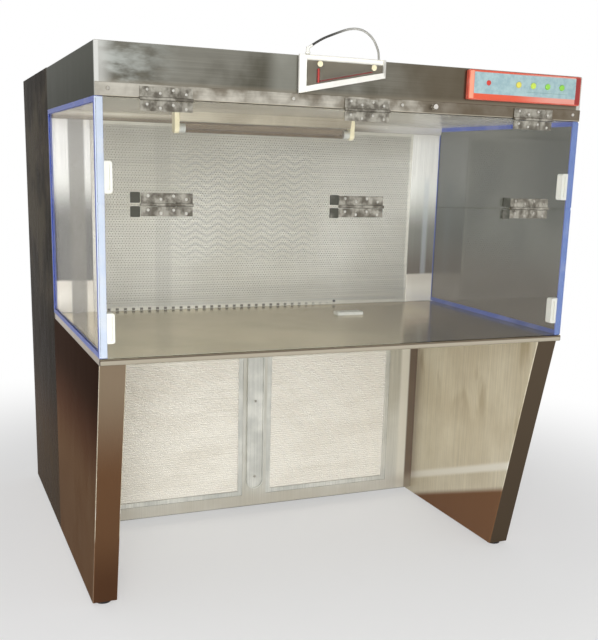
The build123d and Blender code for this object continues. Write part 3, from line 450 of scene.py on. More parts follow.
def jamb_steel():
    """Polished jambs painted with their reflections: white towards the top under a painted darker band, a
    dark reflection that deepens down to a sharp pale foot, a highlight line on the right jamb and a dark
    column on the left.
    """
    material, tree, shader = new_material("jamb_steel", metallic=0.25, Specular_Tint=SLANT)
    color = brushed(tree, shader, srgb(252, 251, 247), srgb(244, 242, 236), ALONG_Z,
                    smear=0.2, roughness=0.06, grit=0.0)
    x, _, z = axes(tree, place_in_piece(tree))
    across = math_node(tree, "ABSOLUTE", x)
    left = ramp(tree, x, 0.1, -0.1)
    # painted shade: darker band at the very top, under the soffit
    color = mix(tree, ramp(tree, z, 1.32, 1.37, 0.0, 0.5), color, srgb(206, 200, 188))
    # painted reflection: white fading down into a dark reflection
    tone = mix(tree, ramp(tree, z, 1.19, 1.00), srgb(240, 240, 233), srgb(124, 123, 113))
    tone = mix(tree, ramp(tree, z, 1.00, 0.87), tone, srgb(104, 94, 80))
    right = ramp(tree, left, 1.0, 0.0)
    # painted highlight: a pale blue-grey line on the right jamb
    painted_highlight_line = product(tree, band_mask(tree, across, 0.640, 0.650, 0.012), right)
    tone = mix(tree, product(tree, painted_highlight_line, 0.45), tone, srgb(196, 204, 210))
    # painted dark reflection, deeper on the lower left jamb
    painted_shade_low_left = product(tree, ramp(tree, z, 1.18, 1.04), left)
    tone = mix(tree, product(tree, painted_shade_low_left, 0.9), tone, srgb(58, 54, 45))
    color = mix(tree, ramp(tree, z, 1.23, 1.17), color, tone)
    # painted pale foot below the dark reflection, lighter towards the worktop
    foot = ramp(tree, z, 0.862, 0.852)
    foot_tone = mix(tree, ramp(tree, z, 0.850, 0.800), srgb(224, 216, 202), srgb(250, 244, 230))
    color = mix(tree, foot, color, foot_tone)
    # painted dark reflection column on the left jamb
    column = product(tree, band_mask(tree, across, 0.600, 0.640, 0.008), left)
    color = mix(tree, product(tree, column, 0.8), color, srgb(104, 99, 86))
    paint(tree, shader, color)
    return material


def paint_node(node, material):
    """Gives a CAD node its finish."""
    slots = NODES[node].data.materials
    slots.clear()
    slots.append(material)


CANOPY = canopy_steel()
CASING = casing_steel()
STAND = stand_steel()
WORKTOP = worktop_steel()
JAMB = jamb_steel()
# soffit: painted brown reflection along its lower edge and a painted bright highlight towards the right
SOFFIT = steel_sheet("soffit_steel", srgb(224, 217, 200), srgb(196, 187, 166), ALONG_X,
                     smear=0.4, roughness=0.12, metallic=0.5,
                     zones=[("Z", 1.380, 1.366, srgb(132, 118, 96), 0.9),
                            ("X", 0.30, 0.52, srgb(244, 240, 230), 0.8)])
# rail: painted paler reflection at the left end, painted darker reflection to the right, painted highlight
# along the lower edge
RAIL = steel_sheet("rail_steel", srgb(208, 203, 190), srgb(136, 128, 114), (9.0, 200.0, 200.0),
                   cloud_scale=13.0, smear=0.4,
                   zones=[("X", -0.42, -0.56, srgb(216, 212, 200), 0.5),
                          ("X", 0.10, 0.30, srgb(108, 96, 79), 0.85),
                          ("Z", 1.3885, 1.3865, srgb(206, 198, 180), 0.8)])
PANEL_BACK = steel_sheet("back_panel_steel", srgb(178, 176, 168), srgb(150, 147, 138), ALONG_X)
# knee wall: a painted highlight strip and, beyond it, painted dark shade in the corner by the right stand;
# darker towards the bottom
KNEE = steel_sheet("knee_wall_steel", srgb(226, 226, 218), srgb(204, 202, 190), ALONG_Z,
                   smear=0.3, metallic=0.55,
                   zones=[("X", 0.556, 0.570, srgb(244, 242, 232), 0.8),
                          ("X", 0.594, 0.602, srgb(104, 84, 68), 0.9),
                          ("Z", 0.10, 0.05, srgb(196, 188, 172), 0.5)])
ZINC = steel_sheet("galvanised_sheet", srgb(196, 200, 202), srgb(158, 162, 164), (40.0, 40.0, 40.0),
                   cloud_scale=26.0, roughness=0.40)
CHANNEL = steel_sheet("channel_zinc", srgb(236, 236, 228), srgb(208, 209, 202), ALONG_Z,
                      cloud_scale=9.0, roughness=0.34, metallic=0.5)
ALUMINIUM = steel_sheet("filter_frame_aluminium", srgb(228, 228, 220), srgb(206, 207, 200), ALONG_Z,
                        cloud_scale=8.0, roughness=0.34, metallic=0.5)
HINGE = steel_sheet("hinge_steel", srgb(184, 180, 168), srgb(112, 107, 97), (200.0, 200.0, 20.0),
                    cloud_scale=40.0, smear=0.5, roughness=0.22)
SCREW = steel_sheet("screw_steel", srgb(236, 234, 226), srgb(200, 196, 186), (300.0, 300.0, 300.0),
                    roughness=0.18)
CHROME = steel_sheet("knob_chrome", srgb(232, 228, 220), srgb(180, 174, 164), (200.0, 200.0, 200.0),
                     roughness=0.10)
# batten: painted brown shade on its lower part
BATTEN = steel_sheet("batten_steel", srgb(204, 194, 172), srgb(160, 148, 126), ALONG_X,
                     smear=0.3, roughness=0.2, metallic=0.6,
                     zones=[("Z", 1.352, 1.338, srgb(120, 98, 76), 0.8)])
BLUE = skinned("blue_edge_trim", srgb(72, 92, 176), 0.15, 0.36, Specular_IOR_Level=0.3)
BLUE_PALE = skinned("blue_edge_trim_left_front", srgb(188, 198, 216), 0.3, 0.40)
BLUE_DEEP = skinned("blue_edge_trim_right_front", srgb(92, 120, 186), 0.15, 0.40)
WHITE = skinned("white_plastic", srgb(232, 231, 222), 0.25, 0.38)
CREAM = skinned("cream_cap", srgb(232, 222, 186), 0.2, 0.35)
BUMPER = skinned("bumper_rubber", srgb(62, 62, 54), 0.35, 0.55, peel=1500.0)
BLACK = skinned("black_rubber", srgb(34, 33, 32), 0.25, 0.62, peel=1500.0)
MOTOR = skinned("motor_paint", srgb(58, 64, 70), 0.5, 0.45)
MEDIA = skinned("pleated_media", srgb(226, 221, 206), 0.35, 0.85, peel=2600.0, peel_strength=0.4)
BOX_SIDE = skinned("control_box_enamel", srgb(206, 92, 72), 0.2, 0.35)
RED_LENS = skinned("red_lens", srgb(206, 62, 48), 0.05, 0.15, peel_strength=0.0)
YELLOW = skinned("button_yellow", srgb(222, 212, 92), 0.1, 0.3)
LIME = skinned("button_lime", srgb(196, 220, 88), 0.1, 0.3)
GREEN = skinned("button_green", srgb(142, 206, 78), 0.1, 0.3)
FLUID = skinned("red_gauge_fluid", srgb(180, 58, 48), 0.0, 0.12, peel_strength=0.0)


def clear_sheet(name, color, roughness, smudge, passes_light=0.0, ior=1.48, body=1.0):
    """Glass or acrylic with faint wiping marks in its gloss. passes_light is the share of lamp and
    bounced light that goes straight through; body below 1 makes a thin clear pane."""
    material, tree, shader = new_material(name, roughness=roughness, IOR=ior, Transmission_Weight=1.0)
    shader.inputs["Base Color"].default_value = color
    marks = noise(tree, scaled(tree, place_in_piece(tree), (5.0, 5.0, 2.0)), 2.0, 5.0, 0.65)
    rough = ramp(tree, marks, 0.45, 0.75, roughness, roughness + smudge)
    tree.links.new(rough, shader.inputs["Roughness"])
    if passes_light:
        rays = add(tree, "ShaderNodeLightPath").outputs
        passed = math_node(tree, "ADD", rays["Is Shadow Ray"], rays["Is Diffuse Ray"], clamp=True)
        alpha = math_node(tree, "MULTIPLY_ADD", passed, 1.0 - passes_light - body, body)
        tree.links.new(alpha, shader.inputs["Alpha"])
    return material


def painted_dark_sheet():
    """Pane painted dark for its reflections: uneven grey-green tint that turns browner towards the worktop.
    """
    material = clear_sheet("right_window_glass_painted_dark", (0.1, 0.1, 0.1, 1), 0.0, 0.02, 0.6, 1.6)
    tree = material.node_tree
    shader = next(node for node in tree.nodes if node.type == "BSDF_PRINCIPLED")
    place = place_in_piece(tree)
    z = axes(tree, place)[2]
    drift = noise(tree, scaled(tree, place, (1.0, 4.0, 4.0)), 1.0, 3.0, 0.5)
    # painted dark tint with uneven patches standing in for the pane's dark reflections
    tint = mix(tree, ramp(tree, drift, 0.36, 0.66), srgb(66, 67, 59), srgb(88, 88, 79))
    # painted reflection: browner towards the worktop
    tint = mix(tree, ramp(tree, z, 1.06, 0.86, 0.0, 0.8), tint, srgb(80, 70, 57))
    paint(tree, shader, tint)
    return material


def vinyl_skin():
    """Soft tube wall: darker near the gauge, painted pale further on as a highlight, with faint rings."""
    material, tree, shader = new_material("clear_vinyl", roughness=0.22, IOR=1.45, Transmission_Weight=0.55)
    place = place_in_piece(tree)
    x = axes(tree, place)[0]
    rings = noise(tree, scaled(tree, place, (900.0, 90.0, 90.0)), 1.0, 2.0, 0.6)
    # darker near the gauge; the pale part further on is a painted highlight
    tone = mix(tree, ramp(tree, x, -0.10, -0.02), srgb(58, 56, 52), srgb(214, 213, 206))
    tone = mix(tree, ramp(tree, rings, 0.52, 0.66, 0.0, 0.5), tone, srgb(150, 148, 140))
    paint(tree, shader, tone)
    tree.links.new(ramp(tree, rings, 0.3, 0.7, 0.16, 0.34), shader.inputs["Roughness"])
    return material


DOOR_GLASS = clear_sheet("door_glass", (0.97, 0.985, 0.975, 1), 0.0, 0.03, 0.92)
LEFT_GLASS = clear_sheet("left_window_glass", (0.80, 0.80, 0.76, 1), 0.0, 0.03, 0.92, 1.35, 0.15)
RIGHT_GLASS = painted_dark_sheet()
# brown tint painted into the clear quartz tube stands in for its dark reflections
QUARTZ = clear_sheet("quartz_lamp_glass", (0.42, 0.33, 0.24, 1), 0.0, 0.05, 0.6)
VINYL = vinyl_skin()
ACRYLIC = clear_sheet("clear_acrylic", (0.95, 0.94, 0.90, 1), 0.02, 0.05)

for node_name, finish in {
    "canopy_shell": CANOPY, "canopy_soffit": SOFFIT, "hinge_rail": RAIL, "cabinet_casing": CASING,
    "rear_panel_upper": PANEL_BACK, "rear_panel_lower": PANEL_BACK, "base_pan": PANEL_BACK,
    "jamb_left": JAMB, "jamb_right": JAMB, "worktop": WORKTOP, "service_plate": CHANNEL,
    "stand_left": STAND, "stand_right": STAND, "knee_wall": KNEE, "mullion_channel": CHANNEL,
    "blower_deck": ZINC, "blower_scroll": ZINC, "blower_impeller": ZINC, "blower_motor": MOTOR,
    "hepa_frame": ALUMINIUM, "hepa_media": MEDIA,
    "prefilter_frame_left": ALUMINIUM, "prefilter_frame_right": ALUMINIUM,
    "side_glass_left": LEFT_GLASS, "side_glass_right": RIGHT_GLASS,
    "door_glass_upper": DOOR_GLASS, "door_glass_lower": DOOR_GLASS,
    "edge_trim_left": BLUE, "edge_trim_right": BLUE, "magnetic_catches": WHITE,
    "rail_hinge_leaves": HINGE, "upper_door_hinge_leaves": HINGE, "top_hinge_pins": HINGE,
    "fold_hinge_upper_leaves": HINGE, "fold_hinge_lower_leaves": HINGE, "fold_hinge_pins": HINGE,
    "fold_bumpers_upper": BUMPER, "fold_bumpers_lower": BUMPER,
    "levelling_feet": BLACK, "cable_gland": BLACK, "hold_knob": CHROME,
    "manometer_mounts": CREAM, "manometer_fluid": FLUID, "tube_fittings": WHITE,
    "lamp_batten": BATTEN, "lampholders": CREAM, "lamp_tube": QUARTZ,
    "control_box": BOX_SIDE, "indicator_lamp": RED_LENS, "push_button_1": YELLOW,
    "push_button_2": LIME, "push_button_3": GREEN, "push_button_4": GREEN,
}.items():
    paint_node(node_name, finish)


# ---- mesh helpers

UPRIGHT = Matrix.Rotation(math.radians(90), 3, "X")      # lays what points up towards the operator


def piece(name, mesh, material, body="cabinet", smooth_angle=None):
    """Turns a bmesh into an object with its place in its mesh, riding on a body."""
    data = bpy.data.meshes.new(name)
    mesh.to_mesh(data)
    mesh.free()
    data.materials.append(material)
    if smooth_angle is not None:
        data.shade_smooth()
        data.set_sharp_from_angle(angle=math.radians(smooth_angle))
    thing = bpy.data.objects.new(name, data)
    show(thing)
    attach(thing, body)
    return thing


def only_verts(geometry):
    return [item for item in geometry if isinstance(item, bmesh.types.BMVert)]


def everything(mesh):
    return mesh.verts[:] + mesh.edges[:] + mesh.faces[:]


def block(mesh, low, high, bevel=0.0, segments=2):
    """Box between two corners (vectors in metres) with softened edges, added to a bmesh."""
    made = bmesh.ops.create_cube(mesh, size=1.0)["verts"]
    size = high - low
    bmesh.ops.scale(mesh, vec=size, verts=made)
    bmesh.ops.translate(mesh, vec=(low + high) / 2, verts=made)
    if bevel:
        edges = list({edge for vert in made for edge in vert.link_edges})
        bmesh.ops.bevel(mesh, geom=edges, offset=bevel, offset_type="OFFSET", segments=segments,
                        profile=0.5, affect="EDGES", material=-1)


def screw_template(radius, height):
    """Pan head with a cross recess, facing -Y, its seat at the origin."""
    mesh = bmesh.new()
    crown = radius * 0.78
    bmesh.ops.create_cone(mesh, cap_ends=True, segments=20, radius1=radius, radius2=crown, depth=height)
    bmesh.ops.translate(mesh, vec=(0, 0, height / 2), verts=mesh.verts)
    arm = radius * 0.55
    half = radius * 0.14
    recess = height * 0.6
    for axis in (0, 1):
        for offset in (-arm, -half, half, arm):
            point = [0, 0, 0]
            point[axis] = offset
            normal = [0, 0, 0]
            normal[axis] = 1
            top = [face for face in mesh.faces if face.normal.z > 0.9]
            geom = list({item for face in top for item in (*face.verts, *face.edges, face)})
            bmesh.ops.bisect_plane(mesh, geom=geom, plane_co=point, plane_no=normal)
    mesh.normal_update()
    cross = []
    for face in mesh.faces:
        center = face.calc_center_median()
        wide, tall = abs(center.x), abs(center.y)
        if face.normal.z > 0.9 and ((wide < half and tall < arm) or (tall < half and wide < arm)):
            cross.append(face)
    pushed = bmesh.ops.extrude_face_region(mesh, geom=cross)["geom"]
    bmesh.ops.translate(mesh, vec=(0, 0, -recess), verts=only_verts(pushed))
    bmesh.ops.delete(mesh, geom=cross, context="FACES")
    bmesh.ops.rotate(mesh, matrix=UPRIGHT, verts=mesh.verts)
    data = bpy.data.meshes.new("screw_template")
    mesh.to_mesh(data)
    mesh.free()
    return data


def scatter(name, template, places, body="cabinet"):
    """Copies of a screw at places (point, outward axis, spin angle) as one piece."""
    mesh = bmesh.new()
    for point, outward, spin in places:
        before = len(mesh.verts)
        mesh.from_mesh(template)
        mesh.verts.ensure_lookup_table()
        fresh = mesh.verts[before:]
        turn = Vector((0, -1, 0)).rotation_difference(Vector(outward)).to_matrix()
        own = Matrix.Rotation(math.radians(spin), 3, "Y")
        bmesh.ops.rotate(mesh, matrix=turn @ own, verts=fresh)
        bmesh.ops.translate(mesh, vec=point, verts=fresh)
    piece(name, mesh, SCREW, body, smooth_angle=32)


# ---- screws

TOP_HINGE_XS = (-528, 10, 535)
FOLD_HINGE_XS = (-528, 3, 545)
HINGE_SCREW_OFFSETS = ((-48, 4), (-16, -4), (16, 4), (48, -4))
HINGE_FACE_Y = -5.5
LEAF_MIDDLE = 17
TOP_AXIS = 1384
FOLD_AXIS = 1135
RAIL_FACE_Y = -3
RAIL_SCREW_Z = 1403
RAIL_SCREW_XS = (-668, -199, 114, 673)
BACK_FACE_Y = 1391.5
BACK_SCREW_XS = (-670, -335, 0, 335, 670)
BACK_SCREW_ZS = (758, 1125, 1480, 66, 400, 736)
PLATE_TOP_Z = 765
PLATE_SCREW_Y = 525
PLATE_SCREW_XS = (195, 267)
CHANNEL_X = -20
CHANNEL_FACE_Y = 727
CHANNEL_SCREW_ZS = (140, 420, 700)
FORWARD = (0, -1, 0)
BACKWARD = (0, 1, 0)
UPWARD = (0, 0, 1)
HINGE_SCREW = screw_template(4.0 * MM, 1.8 * MM)
PANEL_SCREW = screw_template(5.0 * MM, 2.4 * MM)


def hinge_screws(name, xs, axis_z, side, body):
    """Four staggered screws in each of three hinge leaves, above (side 1) or below (side -1) the axis."""
    places = []
    for x in xs:
        for index, (dx, dz) in enumerate(HINGE_SCREW_OFFSETS):
            spot = at(x + dx, HINGE_FACE_Y, axis_z + side * LEAF_MIDDLE + dz)
            places.append((spot, FORWARD, 23 + 37 * index + x))
    scatter(name, HINGE_SCREW, places, body)


def screw_row(points, outward):
    """Places of screws, each turned a little further than the one before."""
    return [(at(*point), outward, 17 + 41 * index) for index, point in enumerate(points)]


def make_screws():
    hinge_screws("screws_rail_hinges", TOP_HINGE_XS, TOP_AXIS, 1, "cabinet")
    hinge_screws("screws_top_hinges", TOP_HINGE_XS, TOP_AXIS, -1, "upper_door")
    hinge_screws("screws_fold_upper", FOLD_HINGE_XS, FOLD_AXIS, 1, "upper_door")
    hinge_screws("screws_fold_lower", FOLD_HINGE_XS, FOLD_AXIS, -1, "lower_door")
    rail = [(x, RAIL_FACE_Y, RAIL_SCREW_Z) for x in RAIL_SCREW_XS]
    scatter("screws_rail", PANEL_SCREW, screw_row(rail, FORWARD))
    backs = [(x, BACK_FACE_Y, z) for z in BACK_SCREW_ZS for x in BACK_SCREW_XS]
    scatter("screws_back_panels", PANEL_SCREW, screw_row(backs, BACKWARD))
    plate = [(x, PLATE_SCREW_Y, PLATE_TOP_Z) for x in PLATE_SCREW_XS]
    scatter("screws_service_plate", PANEL_SCREW, screw_row(plate, UPWARD))
    channel = [(CHANNEL_X, CHANNEL_FACE_Y, z) for z in CHANNEL_SCREW_ZS]
    scatter("screws_channel", HINGE_SCREW, screw_row(channel, FORWARD))


make_screws()


# ---- perforated diffuser

HOLE_PITCH = 9.0 * MM
HOLE_RADIUS = 2.3 * MM
SCREEN_BORDER = 10.0 * MM
SCREEN_SHEET = 1.0 * MM
SCREEN_SETBACK = 0.2 * MM
SCREEN_STRIPS = ("left", "middle", "right")
NOTCH_PITCH = 27.0 * MM
MERGE = 1e-6


def screen_steel():
    """Satin perforated sheet with faint painted chevrons of moiré shade in its middle, painted shade towards
    the top, a seam at the left and small notches along the lower hem."""
    material, tree, shader = new_material("screen_steel", metallic=0.3)
    color = brushed(tree, shader, srgb(234, 231, 220), srgb(216, 212, 198), ALONG_X,
                    cloud_scale=2.2, smear=0.2, roughness=0.42)
    x, _, z = axes(tree, place_in_piece(tree))
    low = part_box("diffuser_screen")[0]
    # painted moiré shade: faint chevrons in the middle of the sheet
    zigzag = math_node(tree, "PINGPONG", x, 0.039)
    wave = math_node(tree, "MULTIPLY_ADD", zigzag, 0.55, z)
    wave = math_node(tree, "SINE", product(tree, wave, 285.0))
    middle = product(tree, band_mask(tree, x, -0.22, 0.10, 0.20), band_mask(tree, z, 0.98, 1.24, 0.12))
    chevrons = product(tree, ramp(tree, wave, -0.2, 0.9), middle)
    color = mix(tree, product(tree, chevrons, 0.42), color, srgb(170, 170, 164))
    seam = band_mask(tree, x, -0.365, -0.325, 0.012)
    color = mix(tree, product(tree, seam, 0.25), color, srgb(170, 168, 156))
    # painted shade: darker towards the top, under the canopy
    color = mix(tree, ramp(tree, z, 1.24, 1.36, 0.0, 0.45), color, srgb(186, 182, 166))
    share = math_node(tree, "FRACT", product(tree, x, 1 / NOTCH_PITCH))
    notch = band_mask(tree, share, 0.30, 0.62, 0.06)
    hem = band_mask(tree, z, low.z + 0.0015, low.z + 0.0085, 0.001)
    fade = ramp(tree, x, 0.32, 0.05)
    notch = product(tree, notch, product(tree, hem, fade))
    color = mix(tree, notch, color, srgb(104, 98, 86))
    paint(tree, shader, color)
    return material


def perforated_strip(name, left, right, low, high, y, material):
    """Flat sheet of staggered six-sided cells, each with a hole, cut to a rectangle and thickened."""
    mesh = bmesh.new()
    cell = HOLE_PITCH / math.sqrt(3)
    outer = bmesh.ops.create_circle(mesh, cap_ends=False, segments=6, radius=cell)["verts"]
    inner = bmesh.ops.create_circle(mesh, cap_ends=False, segments=6, radius=HOLE_RADIUS)["verts"]
    edges = list({edge for vert in outer + inner for edge in vert.link_edges})
    bmesh.ops.bridge_loops(mesh, edges=edges)
    bmesh.ops.rotate(mesh, matrix=Matrix.Rotation(math.radians(30), 3, "Z"), verts=mesh.verts)
    bmesh.ops.rotate(mesh, matrix=UPRIGHT, verts=mesh.verts)

    def copy_shifted(vec):
        fresh = bmesh.ops.duplicate(mesh, geom=everything(mesh))["geom"]
        bmesh.ops.translate(mesh, vec=vec, verts=only_verts(fresh))

    reach = HOLE_PITCH
    while reach < right - left + HOLE_PITCH:
        copy_shifted((reach, 0, 0))
        reach *= 2
    bmesh.ops.remove_doubles(mesh, verts=mesh.verts, dist=MERGE)
    rise = HOLE_PITCH * math.sqrt(3) / 2
    copy_shifted((HOLE_PITCH / 2, 0, rise))
    height = 2 * rise
    while height < high - low + 2 * rise:
        copy_shifted((0, 0, height))
        height *= 2
    bmesh.ops.translate(mesh, vec=(left - HOLE_PITCH, y, low - rise), verts=mesh.verts)
    for point, normal in (((left, y, low), (-1, 0, 0)), ((right, y, low), (1, 0, 0)),
                          ((left, y, low), (0, 0, -1)), ((left, y, high), (0, 0, 1))):
        bmesh.ops.bisect_plane(mesh, geom=everything(mesh), plane_co=point, plane_no=normal,
                               clear_outer=True)
    bmesh.ops.remove_doubles(mesh, verts=mesh.verts, dist=MERGE)
    bmesh.ops.recalc_face_normals(mesh, faces=mesh.faces)
    mesh.normal_update()
    if sum(face.normal.y for face in mesh.faces) > 0:
        bmesh.ops.reverse_faces(mesh, faces=mesh.faces)
    pushed = bmesh.ops.extrude_face_region(mesh, geom=mesh.faces[:], use_keep_orig=True)["geom"]
    bmesh.ops.translate(mesh, vec=(0, SCREEN_SHEET, 0), verts=only_verts(pushed))
    bmesh.ops.recalc_face_normals(mesh, faces=mesh.faces)
    return piece(name, mesh, material)


def make_diffuser():
    low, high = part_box("diffuser_screen")
    steel = screen_steel()
    inner_low = low + Vector((SCREEN_BORDER, 0, SCREEN_BORDER))
    inner_high = high - Vector((SCREEN_BORDER, 0, SCREEN_BORDER))
    y = low.y + SCREEN_SETBACK
    strip_width = (inner_high.x - inner_low.x) / len(SCREEN_STRIPS)
    made = []
    for index, side in enumerate(SCREEN_STRIPS):
        left = inner_low.x + strip_width * index
        made.append(perforated_strip("diffuser_sheet_" + side, left, left + strip_width,
                                     inner_low.z, inner_high.z, y, steel))
    mesh = bmesh.new()
    for x0, x1, z0, z1 in ((low.x, high.x, low.z, inner_low.z), (low.x, high.x, inner_high.z, high.z),
                           (low.x, inner_low.x, inner_low.z, inner_high.z),
                           (inner_high.x, high.x, inner_low.z, inner_high.z)):
        block(mesh, Vector((x0, low.y, z0)), Vector((x1, high.y, z1)))
    made.append(piece("diffuser_rim", mesh, steel))
    for part in made:
        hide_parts("diffuser_screen")


make_diffuser()


# ---- pre-filter media

PLEAT_PITCH = 8.0 * MM
PLEAT_DEPTH = 3.0 * MM
CLOTH_THICKNESS = 0.8 * MM
CLOTH_SETBACK = 1.0 * MM
CLOTH_RIPPLE = 0.25 * MM


def media_paper():
    """Cream filter cloth with uneven tone and slightly uneven faint grey lines painted along the folds as
    shade.
    """
    material, tree, shader = new_material("filter_cloth", roughness=0.9)
    place = place_in_piece(tree)
    drift = noise(tree, scaled(tree, place, (3.0, 1.0, 9.0)), 1.0, 4.0, 0.6)
    color = mix(tree, ramp(tree, drift, 0.40, 0.66), srgb(236, 233, 224), srgb(230, 226, 216))
    # painted shade: faint grey lines along the pleat folds
    lines = noise(tree, scaled(tree, place, (2.5, 1.0, 170.0)), 1.0, 2.0, 0.6)
    color = mix(tree, ramp(tree, lines, 0.55, 0.70, 0.0, 0.16), color, srgb(186, 181, 166))
    fibre = noise(tree, place, 1400.0, 2.0, 0.6)
    paint(tree, shader, color)
    bump(tree, shader, fibre, 0.12, 0.0003)
    return material


def make_prefilter_media(side, cloth):
    """One pleated sheet: a grid whose every other row stands back, thickened."""
    node = "prefilter_media_" + side
    low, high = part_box(node)
    folds = int((high.z - low.z) / PLEAT_PITCH) * 2
    mesh = bmesh.new()
    bmesh.ops.create_grid(mesh, x_segments=24, y_segments=folds, size=0.5)
    bmesh.ops.rotate(mesh, matrix=UPRIGHT, verts=mesh.verts)
    bmesh.ops.scale(mesh, vec=(high.x - low.x, 1, high.z - low.z), verts=mesh.verts)
    center = (low + high) / 2
    bmesh.ops.translate(mesh, vec=(center.x, low.y + CLOTH_SETBACK, center.z), verts=mesh.verts)
    step = (high.z - low.z) / folds
    for vert in mesh.verts:
        row = round((vert.co.z - low.z) / step)
        wave = CLOTH_RIPPLE * math.sin(vert.co.x * 23 + row * 0.7) * math.sin(row * 0.21 + vert.co.x * 9)
        if row % 2:
            vert.co.y += PLEAT_DEPTH
        if 0 < row < folds:
            vert.co.z += wave
    mesh.normal_update()
    bmesh.ops.solidify(mesh, geom=mesh.faces, thickness=CLOTH_THICKNESS)
    cloth_piece = piece("prefilter_cloth_" + side, mesh, cloth)
    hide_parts(node)


CLOTH = media_paper()
for filter_side in ("left", "right"):
    make_prefilter_media(filter_side, CLOTH)


# ---- control face

def control_face_material():
    """Coloured face: coral border with a painted highlight that pales it towards the right, a paler strip at
    the left and a deeper one at the right, grey-blue field, fine line.
    """
    low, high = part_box("control_face_plate")
    material, tree, shader = new_material("control_face_print", roughness=0.38)
    place = place_in_piece(tree)
    x, _, z = axes(tree, place)
    grain = noise(tree, place, 60.0, 4.0, 0.6)
    field = mix(tree, ramp(tree, grain, 0.35, 0.70), srgb(164, 190, 192), srgb(144, 172, 178))
    # the border pales towards the right: a painted highlight
    border = mix(tree, ramp(tree, x, 0.45, 0.60), srgb(214, 88, 60), srgb(222, 152, 138))
    border = mix(tree, ramp(tree, x, high.x - 0.018, high.x - 0.015), border, srgb(150, 46, 42))
    border = mix(tree, ramp(tree, x, low.x + 0.016, low.x + 0.010), border, srgb(236, 156, 128))
    inside = product(tree, band_mask(tree, x, low.x + 0.014, high.x - 0.016, 0.0006),
                     band_mask(tree, z, low.z + 0.014, high.z - 0.003, 0.0006))
    color = mix(tree, inside, border, field)
    line = product(tree, band_mask(tree, x, 0.500, 0.640, 0.001),
                   band_mask(tree, z, 1.4560, 1.4568, 0.0005))
    color = mix(tree, product(tree, line, 0.5), color, srgb(96, 120, 110))
    paint(tree, shader, color)
    tree.links.new(ramp(tree, grain, 0.3, 0.8, 0.32, 0.48), shader.inputs["Roughness"])
    bump(tree, shader, noise(tree, place, 1800.0, 2.0, 0.5), 0.06, 0.0002)
    return material


paint_node("control_face_plate", control_face_material())


# ---- manometer

MANO_LEFT, MANO_RIGHT, MANO_TOP = -187, 57, 1512
MANO_LEFT_LOW, MANO_RIGHT_LOW = 1417, 1467
MANO_FACE_Y, MANO_BACK_Y = -24, -2
MANO_BEVEL = 14
MANO_TOP_EDGE = 2.5
MANO_RECESS = 6
FLUID_Y = MANO_FACE_Y + 4.0
WELL_X, WELL_LOW, WELL_TOP = -140, 1444, 1478
COLUMN_START, COLUMN_END = (-140, FLUID_Y, 1447), (12, FLUID_Y, 1479)
TICK_COUNT = 24
FIRST_TICK, LAST_TICK = (-124, 1456), (6, 1483)
FROSTED = skinned("frosted_acrylic_edge", srgb(240, 238, 230), 0.15, 0.3)
GAUGE_CARD = skinned("gauge_card", srgb(150, 140, 118), 0.3, 0.5)


def wedge(mesh, inset, front, back):
    """Plate with a sloping lower edge, made from a cube and added to a bmesh."""
    slope = (MANO_RIGHT_LOW - MANO_LEFT_LOW) / (MANO_RIGHT - MANO_LEFT)
    left, right = MANO_LEFT + inset, MANO_RIGHT - inset
    painted_shade_low_left = MANO_LEFT_LOW + inset * (1 + slope)
    for vert in bmesh.ops.create_cube(mesh, size=1.0)["verts"]:
        x = left if vert.co.x < 0 else right
        y = front if vert.co.y < 0 else back
        low = painted_shade_low_left + (x - left) * slope
        vert.co = at(x, y, low if vert.co.z < 0 else MANO_TOP - inset)


def make_manometer():
    border = bmesh.new()
    wedge(border, 0, MANO_FACE_Y + MANO_BEVEL, MANO_BACK_Y)
    front = min(border.faces, key=lambda item: item.calc_center_median().y)
    bmesh.ops.inset_region(border, faces=[front], thickness=MANO_BEVEL * MM, use_even_offset=True)
    bmesh.ops.translate(border, vec=(0, -MANO_BEVEL * MM, 0), verts=front.verts)
    upper = [vert for vert in front.verts if vert.co.z > (MANO_TOP - MANO_BEVEL - 1) * MM]
    bmesh.ops.translate(border, vec=(0, 0, (MANO_BEVEL - MANO_TOP_EDGE) * MM), verts=upper)
    bmesh.ops.inset_region(border, faces=[front], thickness=0.6 * MM, use_even_offset=True)
    bmesh.ops.translate(border, vec=(0, MANO_RECESS * MM, 0), verts=front.verts)
    bmesh.ops.recalc_face_normals(border, faces=border.faces)
    frame_piece = piece("gauge_acrylic_border", border, FROSTED)
    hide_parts("manometer_body")
    for name, material, front_gap, back_gap in (("gauge_card", GAUGE_CARD, 5, 6.5),
                                                ("gauge_front_window", ACRYLIC, 0.3, 2.5)):
        sheet = bmesh.new()
        wedge(sheet, MANO_BEVEL + 1.0, MANO_FACE_Y + front_gap, MANO_FACE_Y + back_gap)
        bmesh.ops.recalc_face_normals(sheet, faces=sheet.faces)
        sheet_piece = piece(name, sheet, material)
        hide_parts("manometer_body")


def rod(mesh, start, end, radius, segments=16):
    """Round bar from start to end (vectors in metres)."""
    run = end - start
    made = bmesh.ops.create_cone(mesh, cap_ends=True, segments=segments, radius1=radius, radius2=radius,
                                 depth=run.length)["verts"]
    turn = Vector((0, 0, 1)).rotation_difference(run).to_matrix()
    bmesh.ops.rotate(mesh, matrix=turn, verts=made)
    bmesh.ops.translate(mesh, vec=(start + end) / 2, verts=made)


